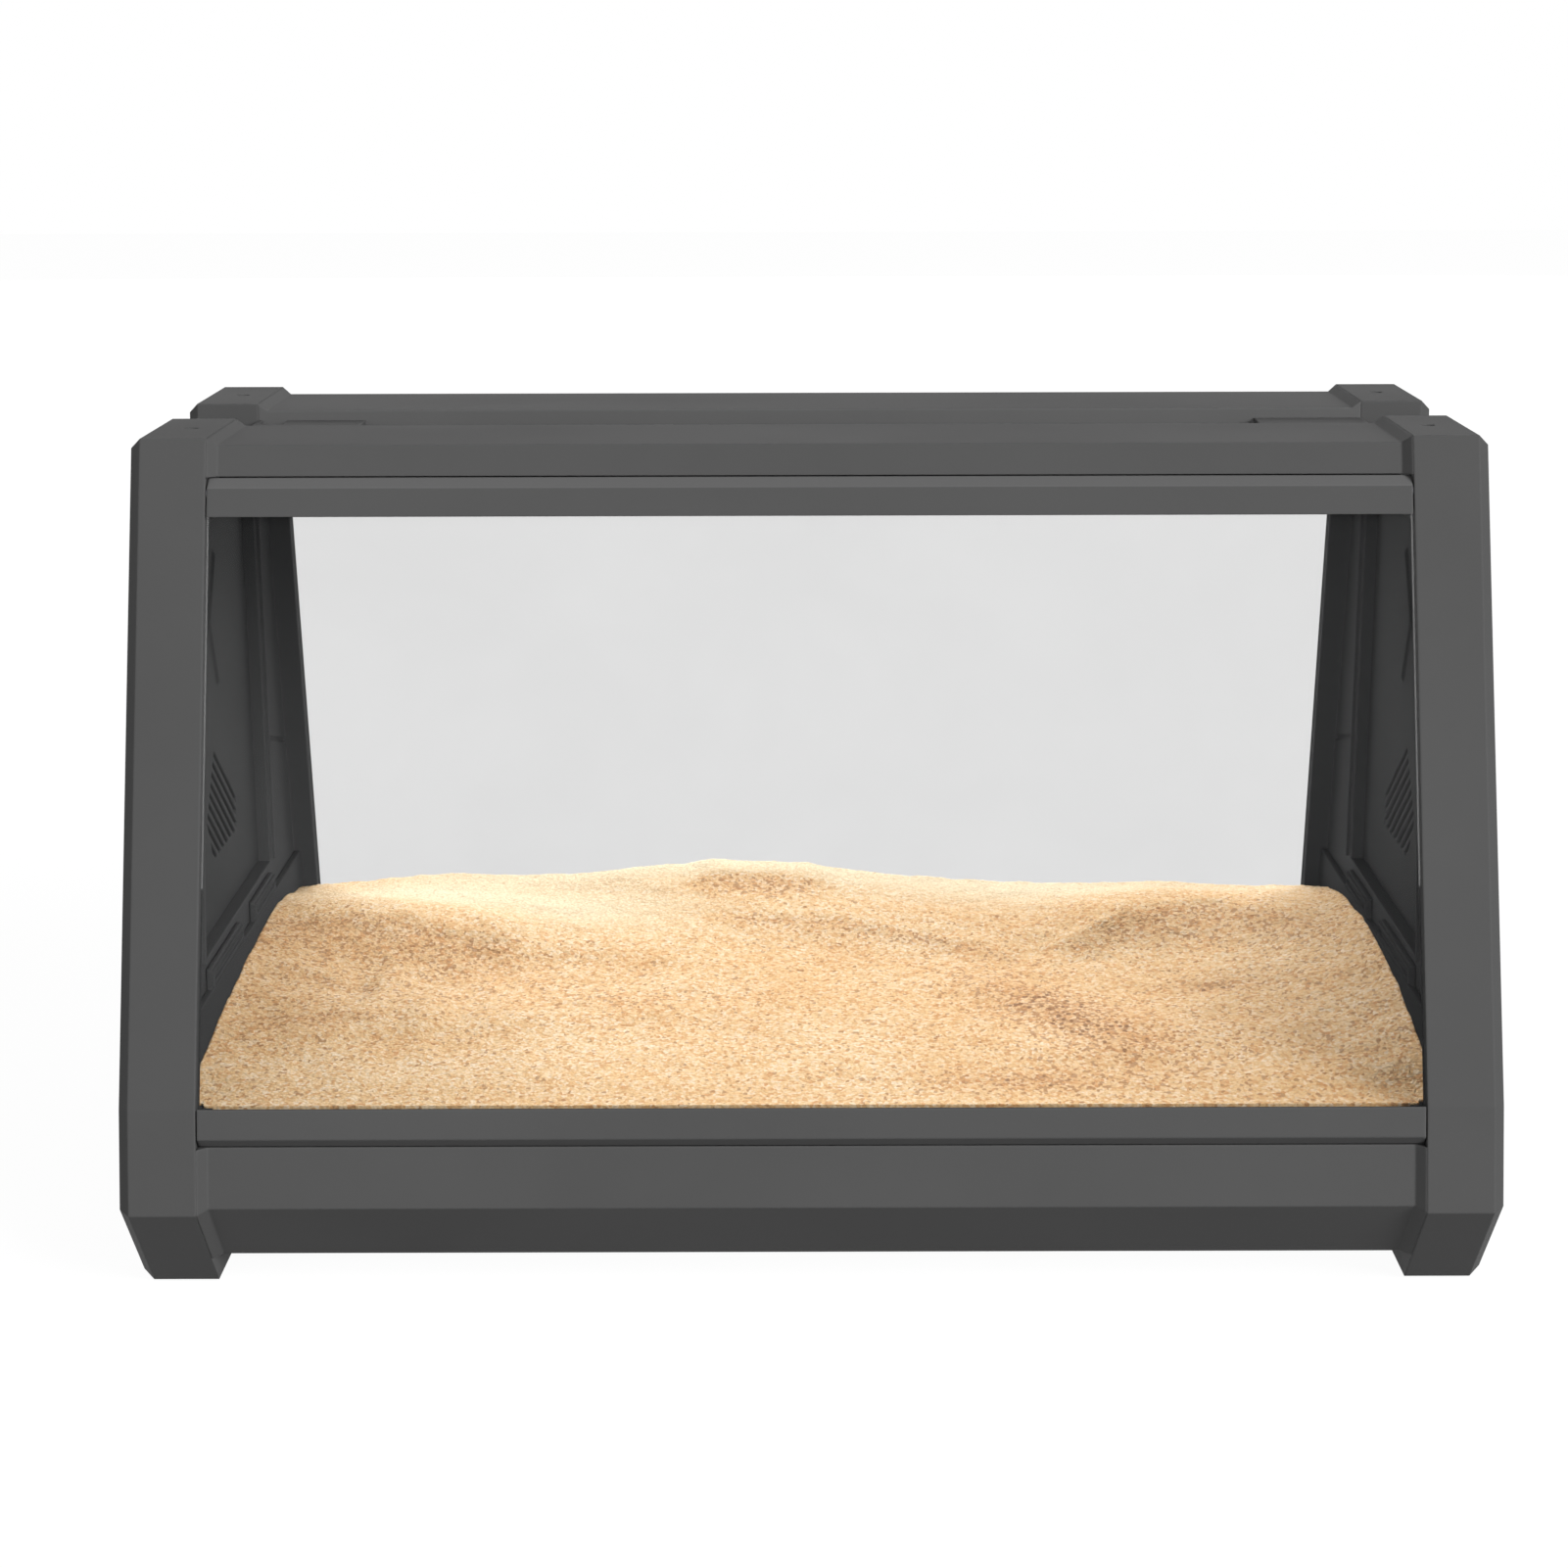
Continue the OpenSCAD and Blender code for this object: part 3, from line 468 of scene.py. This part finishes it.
@dataclass
class Studio:
    """Camera, soft light and a pale floor: lengths in metres."""

    lens_mm: float = 86.83
    distance: float = 1.1937
    height: float = 0.3663
    pitch_deg: float = 11.22
    roll_deg: float = -0.15
    shift: float = -0.0169
    sensor_mm: float = 36.0
    clip: tuple[float, float] = (0.05, 50.0)
    floor_half: float = 6.0
    floor_bounce: float = 0.37  # grey of the floor for the light that it throws back
    floor_faint: float = 0.14  # grey that takes the shadow in the floor that is seen
    floor_glow: float = 0.96
    world_light: float = 0.135

    def camera(self) -> None:
        """Puts the camera in front of the object, a little above it."""
        data = bpy.data.cameras.new("camera")
        data.lens = self.lens_mm
        data.sensor_width = self.sensor_mm
        data.shift_x = self.shift
        data.clip_start, data.clip_end = self.clip
        camera = bpy.data.objects.new("camera", data)
        camera.location = (0.0, -self.distance, self.height)
        turn = Matrix.Rotation(math.radians(90 - self.pitch_deg), 3, "X")
        roll = Matrix.Rotation(math.radians(self.roll_deg), 3, "Z")
        camera.rotation_euler = (turn @ roll).to_euler()
        bpy.context.scene.collection.objects.link(camera)
        bpy.context.scene.camera = camera

    @staticmethod
    def seen(tree: bpy.types.NodeTree) -> bpy.types.Node:
        """Node that is 1 for the rays that see the background: camera, mirrored and let through."""
        path = add_node(tree, "LightPath")
        near = add_node(tree, "Math", {0: path.outputs["Is Camera Ray"],
                                       1: path.outputs["Is Glossy Ray"]}, operation="MAXIMUM")
        return add_node(tree, "Math", {0: near.outputs["Value"],
                                       1: path.outputs["Is Transmission Ray"]}, operation="MAXIMUM")

    def floor(self) -> None:
        """Lays the floor, which shows white apart from the object's shadow."""
        mesh = bpy.data.meshes.new("floor")
        h = self.floor_half
        mesh.from_pydata([(-h, -h, 0), (h, -h, 0), (h, h, 0), (-h, h, 0)], [], [(0, 1, 2, 3)])
        floor = bpy.data.objects.new("floor", mesh)
        bpy.context.scene.collection.objects.link(floor)
        material, tree = new_material("studio floor, white")
        seen = self.seen(tree)
        matt = add_node(tree, "BsdfDiffuse", {"Color": grey(self.floor_bounce)})
        faint = add_node(tree, "BsdfDiffuse", {"Color": grey(self.floor_faint)})
        glow = add_node(tree, "Emission", {"Color": grey(1.0), "Strength": self.floor_glow})
        both = add_node(tree, "AddShader", {0: faint.outputs["BSDF"], 1: glow.outputs["Emission"]})
        show = add_node(tree, "MixShader", {"Fac": seen.outputs["Value"], 1: matt.outputs["BSDF"],
                                            2: both.outputs["Shader"]})
        add_node(tree, "OutputMaterial", {"Surface": show.outputs["Shader"]})
        mesh.materials.append(material)

    def world(self) -> None:
        """Makes the world a soft grey light that shows as white."""
        world = bpy.data.worlds.new("studio")
        bpy.context.scene.world = world
        world.use_nodes = True
        tree = world.node_tree
        tree.nodes.clear()
        seen = self.seen(tree)
        light = add_node(tree, "Background", {"Color": grey(1.0), "Strength": self.world_light})
        white = add_node(tree, "Background", {"Color": grey(1.0), "Strength": 1.0})
        mix = add_node(tree, "MixShader", {"Fac": seen.outputs["Value"],
                                           1: light.outputs["Background"],
                                           2: white.outputs["Background"]})
        add_node(tree, "OutputWorld", {"Surface": mix.outputs["Shader"]})

    @staticmethod
    def light_inside(bed: bpy.types.Object, walls: list[bpy.types.Object]) -> None:
        """Adds the lamp behind that lights the sand and the soft light that comes up from it.

        Args:
            bed: The sand.
            walls: The end frames and vent panels, which shade the sand at its ends.
        """
        SAND_LAMP.add_linked([bed], [bed, *walls])
        BOUNCE_LAMP.add_linked(walls, walls)

    @staticmethod
    def light_valley(rails: list[bpy.types.Object]) -> None:
        """Adds a low soft lamp in front for what lies in the shade of the front rail.

        Args:
            rails: The objects that it lights.
        """
        VALLEY_LAMP.add_linked(rails, rails)

    def build(self) -> None:
        """Builds the studio."""
        self.camera()
        self.floor()
        self.world()
        for lamp in (KEY, FILL, REAR_FILL):
            lamp.add()
        bpy.context.scene.view_settings.view_transform = "Standard"


@dataclass
class Shell:
    """The moulded nodes of the frame, with softened edges and their finishes."""

    edge_mm: float = 0.18
    edge_segments: int = 2
    edge_deg: float = 24.0  # sharper turns than this are rounded
    weld_mm: float = 0.01
    flat_deg: float = 1.0  # faces that turn less than this are one face
    area_weight: int = 100  # the largest faces set the shading
    soft_slots: tuple[Slot, ...] = (Slot.SHELL, Slot.PANEL)
    special: dict = field(default_factory=dict)  # node name to its own finish

    def soften(self, node: bpy.types.Object) -> None:
        """Rounds a moulded node's edges with modifiers and leaves its mesh as it is.

        Args:
            node: CAD node.
        """
        weld = node.modifiers.new("weld", "WELD")
        weld.merge_threshold = self.weld_mm * MM
        merge = node.modifiers.new("flat faces", "DECIMATE")
        merge.decimate_type = "DISSOLVE"
        merge.angle_limit = math.radians(self.flat_deg)
        bevel = node.modifiers.new("moulded edge", "BEVEL")
        bevel.width = self.edge_mm * MM
        bevel.segments = self.edge_segments
        bevel.limit_method = "ANGLE"
        bevel.angle_limit = math.radians(self.edge_deg)

    def flatten(self, node: bpy.types.Object) -> None:
        """Gives a moulded node flat faces.

        Args:
            node: CAD node.
        """
        split = node.modifiers.new("flat shading", "EDGE_SPLIT")
        split.split_angle = math.radians(self.flat_deg)
        normals = node.modifiers.new("even normals", "WEIGHTED_NORMAL")
        normals.keep_sharp = False
        normals.weight = self.area_weight

    def dress(self, nodes: dict, slots: dict, finishes: dict) -> None:
        """Gives each node its finish.

        Args:
            nodes: Node name to object.
            slots: Node name to slot.
            finishes: Slot to material.
        """
        for name, node in sorted(nodes.items()):
            finish = self.special.get(name, finishes[slots[name]])
            node.data.materials.clear()
            node.data.materials.append(finish)
            if slots[name] in self.soft_slots:
                # the ribs in the end frames are too fine for a bevel: their material rounds them
                if not name.endswith("end_frame"):
                    self.soften(node)
                self.flatten(node)
            LOG.info("dressed %s as %s", name, finish.name)


@dataclass(frozen=True)
class Dune:
    """One hump or hollow of sand.

    u and v are its middle, long and deep its half lengths, rise its height, skew the turn of its
    crest and bow the bend of it, all as shares of the bed and of the sand's rise. steep above 1
    gives it a shorter face in front.
    """

    u: float
    v: float
    long: float
    deep: float
    rise: float
    skew: float = 0.0
    steep: float = 1.0
    bow: float = 0.0

    def height(self, u: np.ndarray, v: np.ndarray) -> np.ndarray:
        """Height of the dune at each point, as a share of the sand's rise."""
        aside = u - self.u
        across = (v - self.v - self.skew * aside + self.bow * aside ** 2) / self.deep
        across = np.where(across < 0, across * self.steep, across)
        return self.rise * np.exp(-(aside / self.long) ** 2 - across ** 2)


LOW_DUNES = (
    Dune(-0.23, 0.94, 0.16, 0.35, 0.46), Dune(0.04, 0.94, 0.2, 0.35, 0.4),
    Dune(-0.75, 0.42, 0.35, 0.16, 0.35, -0.25), Dune(-0.62, 0.05, 0.3, 0.16, -0.2, 0.3),
    Dune(-0.72, -0.35, 0.25, 0.14, 0.22, 0.35), Dune(0.69, 0.6, 0.3, 0.26, 0.4, -0.1),
    Dune(0.45, -0.53, 0.25, 0.22, 0.28, 0.1), Dune(0.1, 0.2, 0.4, 0.25, -0.25),
)
SMALL_DUNES = (
    # furrows and crescents at the left
    Dune(-0.8, -0.1, 0.03, 0.16, -0.14), Dune(-0.745, -0.08, 0.03, 0.2, 0.12),
    Dune(-0.92, -0.3, 0.14, 0.06, 0.1, 0.5, 1.8, 2.0),
    Dune(-0.88, -0.58, 0.16, 0.08, 0.14, 0.5, 2.4),
    Dune(-0.66, -0.42, 0.03, 0.2, 0.08), Dune(-0.6, -0.3, 0.03, 0.2, -0.08),
    # small dunes at the rear
    Dune(-0.36, 0.9, 0.1, 0.14, 0.12, 0.2, 2.0), Dune(-0.5, 0.62, 0.12, 0.1, 0.1, 0.2, 2.2),
    # ridges and prints in front, right of the middle
    Dune(0.36, -0.2, 0.2, 0.24, 0.14, -1.6, 1.4), Dune(0.47, -0.5, 0.1, 0.12, -0.12, -0.4),
    Dune(0.5, -0.68, 0.16, 0.1, 0.08, 0.1, 2.0), Dune(0.71, -0.1, 0.06, 0.05, -0.1, 0.2),
    Dune(0.86, -0.55, 0.14, 0.2, 0.1, 0.5, 1.8),
    # soft waves over the middle
    Dune(-0.4, -0.35, 0.3, 0.12, 0.1, 0.4, 2.0), Dune(-0.3, 0.2, 0.26, 0.14, 0.12, -0.3, 2.0),
    Dune(-0.15, -0.7, 0.3, 0.1, 0.06, 0.2, 2.0),
)
# shares of browner grains: painted shade at both ends of the bed and at u -0.55, and darker browner
# patches elsewhere
COARSE_SHADE_AND_LIGHT_PATCHES = (
    Dune(0.43, -0.33, 0.15, 0.26, 0.95, -1.7), Dune(-0.09, 0.74, 0.1, 0.06, 0.5),
    Dune(0.36, -0.84, 0.13, 0.07, 0.8), Dune(0.71, -0.1, 0.09, 0.06, 0.7),
    Dune(1.0, -0.3, 0.26, 1.0, 0.2), Dune(-0.95, -0.1, 0.27, 0.5, 0.25),
    Dune(-0.55, 0.0, 0.2, 0.2, 0.2), Dune(-0.3, -0.2, 0.2, 0.08, 0.25, 0.3),
    Dune(0.6, -0.6, 0.2, 0.3, 0.25),
    # painted light: paler sand at the rear
    Dune(-0.72, 0.72, 0.26, 0.22, -0.8), Dune(-0.25, 1.0, 0.5, 0.14, -0.8),
    Dune(0.5, 0.9, 0.45, 0.2, -0.7), Dune(-0.4, 0.6, 0.2, 0.2, -0.5),
)


@dataclass(frozen=True)
class SlipFace:
    """The face of a dune towards the front, from its crest down to its foot.

    crest and foot are rows of (u, v) points, as shares of the bed's half length and half depth.
    back is how far the dune reaches behind its crest, end how far it fades at its ends, curve the
    bend of the face, sharp the width of the band below the crest where the painted shade sets in
    and spread how far that painted shade, laid as browner grains, reaches down.
    """

    crest: tuple[tuple[float, float], ...]
    foot: tuple[tuple[float, float], ...]
    drop_mm: float
    back: float = 0.35
    end: float = 0.12
    # share of painted shade on the face, laid as browner grains
    coarse_and_shade: float = 0.48
    curve: float = 1.5
    sharp: float = 0.05
    spread: float = 1.2

    def lines(self, u: np.ndarray) -> tuple[np.ndarray, np.ndarray, np.ndarray]:
        """Crest, foot and strength of the face at each place along the bed."""
        left, right = self.crest[0][0], self.crest[-1][0]
        ends = smooth((u - left) / self.end) * smooth((right - u) / self.end)
        return np.interp(u, *zip(*self.crest)), np.interp(u, *zip(*self.foot)), ends

    def height(self, u: np.ndarray, v: np.ndarray) -> np.ndarray:
        """Height of the dune at each point, in millimetres."""
        top, low, ends = self.lines(u)
        climb = np.clip((v - low) / (top - low), 0, 1) ** self.curve
        return self.drop_mm * climb * ends * np.exp(-(np.maximum(v - top, 0) / self.back) ** 2)

    def share(self, u: np.ndarray, v: np.ndarray) -> np.ndarray:
        """Share of painted shade at each point, laid as browner grains: sharp at the crest and
        fading towards the foot.
        """
        top, low, ends = self.lines(u)
        near_crest = smooth((top - v) / self.sharp)
        above_foot = smooth((v - low) / (top - low) * self.spread)
        return self.coarse_and_shade * ends * near_crest * above_foot


SLIP_FACES = (
    SlipFace(crest=((-1.2, 0.34), (-0.93, 0.38), (-0.84, 0.4), (-0.75, 0.36), (-0.65, 0.27),
                    (-0.48, 0.22)),
             foot=((-1.2, 0.06), (-0.88, 0.0), (-0.75, -0.05), (-0.63, -0.05), (-0.48, 0.0)),
             drop_mm=4.0, back=0.4),
    SlipFace(crest=((0.42, 0.3), (0.51, 0.37), (0.59, 0.48), (0.68, 0.54), (0.76, 0.52),
                    (0.87, 0.43), (1.0, 0.2)),
             foot=((0.42, 0.22), (0.63, 0.2), (0.77, 0.14), (0.9, 0.06), (1.0, 0.0)),
             drop_mm=4.5, back=0.3),
    SlipFace(crest=((-0.26, 0.82), (-0.1, 0.88), (0.06, 0.84)),
             foot=((-0.26, 0.7), (-0.1, 0.68), (0.06, 0.7)),
             drop_mm=2.2, back=0.3, end=0.08, coarse_and_shade=0.6),
    SlipFace(crest=((-0.24, 0.58), (0.04, 0.54), (0.31, 0.34), (0.42, 0.2)),
             foot=((-0.24, 0.44), (0.04, 0.38), (0.31, 0.18), (0.42, 0.08)),
             drop_mm=1.4, back=0.2, coarse_and_shade=0.5),
    SlipFace(crest=((-0.98, -0.02), (-0.9, -0.03), (-0.8, -0.1), (-0.7, -0.05)),
             foot=((-0.98, -0.1), (-0.9, -0.14), (-0.8, -0.2), (-0.7, -0.12)),
             drop_mm=1.2, back=0.1, end=0.06, coarse_and_shade=0.4),
    SlipFace(crest=((-0.99, -0.44), (-0.85, -0.4), (-0.7, -0.34)),
             foot=((-0.99, -0.62), (-0.85, -0.56), (-0.7, -0.46)),
             drop_mm=1.2, back=0.15, end=0.08, coarse_and_shade=0.5),
)


@dataclass
class SandBed:
    """Loose sand over the tray's ledges, as a fine height field in place of the CAD bed.

    front_mm is the height of the sand in front, and left_mm and right_mm are what it rises by
    towards the rear. ledge_mm, knee_mm and body_x_mm are the underside: the ledge's height, the
    height where the bed starts to narrow, and half its width.
    """

    step_mm: float = 0.7
    jitter_share: float = 0.3  # of a step, by which each point is moved aside
    front_mm: float = 62.3
    rise_mm: float = 10.0
    left_mm: float = 9.1
    right_mm: float = 2.9
    bank_mm: float = 11.0  # height to which the sand banks up at its ends
    bank_power: int = 6
    lean: float = 0.4
    fade_power: int = 8  # the dunes are lower at the very ends
    front_fade: float = 4.0
    narrow_mm: float = 129.4  # half depth between the corner posts
    corner_mm: tuple[float, float] = (5.05, 5.65)
    dip_mm: float = 4.5  # the sand falls away into the left rear corner
    dip_from: tuple[float, float] = (-0.66, 0.4)
    dip_over: tuple[float, float] = (0.34, 0.6)
    body_x_mm: float = 174.2
    ledge_mm: float = 60.1
    edge_mm: float = 60.6  # height of the front edge, to which the sand runs down
    ramp_mm: float = 26.0
    knee_mm: float = 29.0
    toe_share: float = 0.86
    # rise and size of each layer of lumps
    lumps_mm: tuple[tuple[float, float], ...] = ((0.45, 16.0), (0.3, 6.0), (0.06, 2.6), (0.1, 1.3))
    grain_mm: float = 0.07
    origin_mm: tuple[float, float] = (-200.0, -150.0)  # corner of the noise, outside the bed
    seed: int = 7

    def noise(
        self, rng: np.random.Generator, x: np.ndarray, y: np.ndarray, cell_mm: float
    ) -> np.ndarray:
        """Smooth noise between -1 and 1.

        Args:
            rng: Seeded source of numbers.
            x: Points along X, in millimetres.
            y: Points along Y, in millimetres.
            cell_mm: Size of a lump.

        Returns:
            The noise at each point.
        """
        px, py = (x - self.origin_mm[0]) / cell_mm, (y - self.origin_mm[1]) / cell_mm
        grid = rng.uniform(-1, 1, (int(px.max()) + 3, int(py.max()) + 3))
        i, j = px.astype(int), py.astype(int)
        fx, fy = smooth(px - i), smooth(py - j)
        low = grid[i, j] * (1 - fx) + grid[i + 1, j] * fx
        high = grid[i, j + 1] * (1 - fx) + grid[i + 1, j + 1] * fx
        return low * (1 - fy) + high * fy

    def heights(self, x: np.ndarray, y: np.ndarray, half_x: float, half_y: float) -> np.ndarray:
        """Height of the dunes at each point.

        Args:
            x: Points along X, in millimetres.
            y: Points along Y, in millimetres.
            half_x: Half length of the bed.
            half_y: Half depth of the bed.

        Returns:
            The heights, in millimetres.
        """
        u, v = x / half_x, y / half_y
        t = (v + 1) / 2
        rear = (self.left_mm * (1 - u) + self.right_mm * (1 + u)) / 2
        z = self.front_mm + smooth(t) * rear
        z = z + self.bank_mm * (1 + self.lean * np.sign(u)) * u ** self.bank_power * (1 - v * v)
        fade = np.minimum(1, self.front_fade * t) * (1 - u ** self.fade_power)
        for dune in LOW_DUNES + SMALL_DUNES:
            z = z + self.rise_mm * dune.height(u, v) * fade
        for face in SLIP_FACES:
            z = z + face.height(u, v) * fade
        left = smooth((self.dip_from[0] - u) / self.dip_over[0])
        behind = smooth((v - self.dip_from[1]) / self.dip_over[1])
        return z - self.dip_mm * left * behind

    def coarseness_shade_and_light(self, x: np.ndarray, y: np.ndarray, half_x: float, half_y: float) -> np.ndarray:
        """Share of browner grains at each point, or below 0 that of paler ones: painted shade on
        the dune faces and at the ends, darker patches, and painted light at the rear.

        Args:
            x: Points along X, in millimetres.
            y: Points along Y, in millimetres.
            half_x: Half length of the bed.
            half_y: Half depth of the bed.

        Returns:
            The shares, between -1 and 1.
        """
        u, v = x / half_x, y / half_y
        share = sum(face.share(u, v) for face in SLIP_FACES)
        share = share + sum(patch.height(u, v) for patch in COARSE_SHADE_AND_LIGHT_PATCHES)
        return np.clip(share, -1, 1)

    def surface(self, low: Vector, high: Vector) -> tuple[np.ndarray, np.ndarray, int, int]:
        """Points of the top of the bed.

        Args:
            low: Lowest corner of the CAD bed, in metres. Not used.
            high: Its highest corner.

        Returns:
            The points in millimetres, as rows along Y, their share of painted shade, painted light
            and browner grains, and the numbers of cells along X and Y.
        """
        half_x, half_y = high.x / MM, high.y / MM
        nx, ny = int(2 * half_x / self.step_mm), int(2 * half_y / self.step_mm)
        xs, vs = np.linspace(-half_x, half_x, nx + 1), np.linspace(-1, 1, ny + 1)
        x, v = np.meshgrid(xs, vs, indexing="ij")
        reach = np.interp(half_x - np.abs(x), self.corner_mm, (0, 1))
        y = v * (self.narrow_mm + (half_y - self.narrow_mm) * reach)
        rng = np.random.default_rng(self.seed)
        inner = np.zeros_like(x)
        inner[1:-1, 1:-1] = 1
        jitter = self.step_mm * self.jitter_share
        x = x + rng.uniform(-jitter, jitter, x.shape) * inner
        y = y + rng.uniform(-jitter, jitter, x.shape) * inner
        z = self.heights(x, y, half_x, half_y)
        for rise, cell in self.lumps_mm:
            z = z + rise * self.noise(rng, x, y, cell)
        z = z + rng.normal(0, self.grain_mm, z.shape)
        # the sand runs down to its front edge, just above the tray's ledge
        z = self.edge_mm + (z - self.edge_mm) * smooth((y + half_y) / self.ramp_mm)
        coarse_and_shade = self.coarseness_shade_and_light(x, y, half_x, half_y).reshape(-1)
        return np.stack([x, y, z], -1).reshape(-1, 3), coarse_and_shade, nx, ny

    def build(self, material: bpy.types.Material) -> bpy.types.Object:
        """Builds the bed where the CAD bed is.

        Args:
            material: Finish of the sand.

        Returns:
            The new piece.
        """
        low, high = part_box("sand_bed")
        top, coarse_and_shade, nx, ny = self.surface(low, high)
        ring = self.outline(nx, ny)
        # under the edge: down to the ledge, in along it, down to the knee and in to the toe
        rows = [top[ring].copy() for _ in range(4)]
        rows[0][:, 2] = rows[1][:, 2] = self.ledge_mm
        for row in rows[1:]:
            row[:, 0] = np.clip(row[:, 0], -self.body_x_mm, self.body_x_mm)
        rows[2][:, 2] = self.knee_mm
        rows[3][:, 2] = low.z / MM
        rows[3][:, 1] *= self.toe_share
        points = np.vstack([top, *rows]) * MM
        mesh = bpy.data.meshes.new("sand_surface")
        mesh.from_pydata(points.tolist(), [], self.faces(nx, ny, ring, len(top), len(rows)))
        mesh.polygons.foreach_set("use_smooth", [True] * len(mesh.polygons))
        # the shares of painted shade, of painted light and of browner grains, for the sand's
        # material
        shares = mesh.attributes.new("coarse_and_shade", "FLOAT", "POINT")
        all_coarse_and_shade = np.concatenate([coarse_and_shade, np.tile(coarse_and_shade[ring], len(rows))])
        shares.data.foreach_set("value", all_coarse_and_shade.astype(np.float32))
        mesh.materials.append(material)
        bed = bpy.data.objects.new("sand_surface", mesh)
        bpy.context.scene.collection.objects.link(bed)
        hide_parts("sand_bed")
        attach(bed, "enclosure")
        # the sand throws no warm light or mirror image on the walls
        bed.visible_diffuse = False
        bed.visible_glossy = False
        LOG.info("built the sand bed with %d points", len(points))
        return bed

    @staticmethod
    def outline(nx: int, ny: int) -> list[int]:
        """Numbers of the points round the edge of the grid, in order."""
        row = ny + 1
        front = [i * row for i in range(nx)]
        right = [nx * row + j for j in range(ny)]
        rear = [i * row + ny for i in range(nx, 0, -1)]
        left = [j for j in range(ny, 0, -1)]
        return front + right + rear + left

    @staticmethod
    def faces(
        nx: int, ny: int, ring: list[int], first: int, count: int
    ) -> list[tuple[int, ...]]:
        """Faces of the grid, of its sides and of its underside.

        Args:
            nx: Cells along X.
            ny: Cells along Y.
            ring: Points round the edge.
            first: Number of the first point of the lower rows.
            count: Number of lower rows.

        Returns:
            The faces.
        """
        row = ny + 1
        cells = [(i * row + j, (i + 1) * row + j, (i + 1) * row + j + 1, i * row + j + 1)
                 for i in range(nx) for j in range(ny)]
        size = len(ring)
        rows = [ring] + [[first + k * size + n for n in range(size)] for k in range(count)]
        sides = [(upper[n], lower[n], lower[(n + 1) % size], upper[(n + 1) % size])
                 for upper, lower in zip(rows, rows[1:]) for n in range(size)]
        return cells + sides + [tuple(reversed(rows[-1]))]


def main() -> None:
    """Builds the studio and dresses the terrarium."""
    logging.basicConfig(level=logging.INFO, format="%(message)s")
    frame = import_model()
    slots = {part["node"]: Slot(part["material_slot"]) for part in frame["record"]["subparts"]}
    shell = MouldedAbs("ABS, dark grey, moulded", "#5A5A5A", "#5F5F5F")
    finishes = {
        Slot.SHELL: shell.make(),
        Slot.PANEL: MouldedAbs("ABS, charcoal, moulded", "#4E4E4E", "#545454").make(),
        Slot.CLEAR: CastAcrylic().make(),
        Slot.SAND: LooseSand().make(),
        Slot.STEEL: PlatedSteel("steel, zinc plated", "#B9BBBE").make(),
        Slot.MAGNET: PlatedSteel("magnet, nickel plated", "#C9C7C2", 0.22).make(),
        Slot.RUBBER: MouldedRubber().make(),
    }
    studio = Studio()
    studio.build()
    # the lip's faces that look up are painted paler: painted light
    lip = replace(shell, name="ABS, dark grey, moulded and dusty", dust_and_top_light=0.8).make()
    Shell(special={"door_head": lip}).dress(frame["nodes"], slots, finishes)
    bed = SandBed().build(finishes[Slot.SAND])
    walls = [node for name, node in frame["nodes"].items() if name.endswith(WALL_ENDINGS)]
    studio.light_inside(bed, walls)
    studio.light_valley([frame["nodes"]["rear_top_rail"]])


if __name__ == "__main__":
    main()
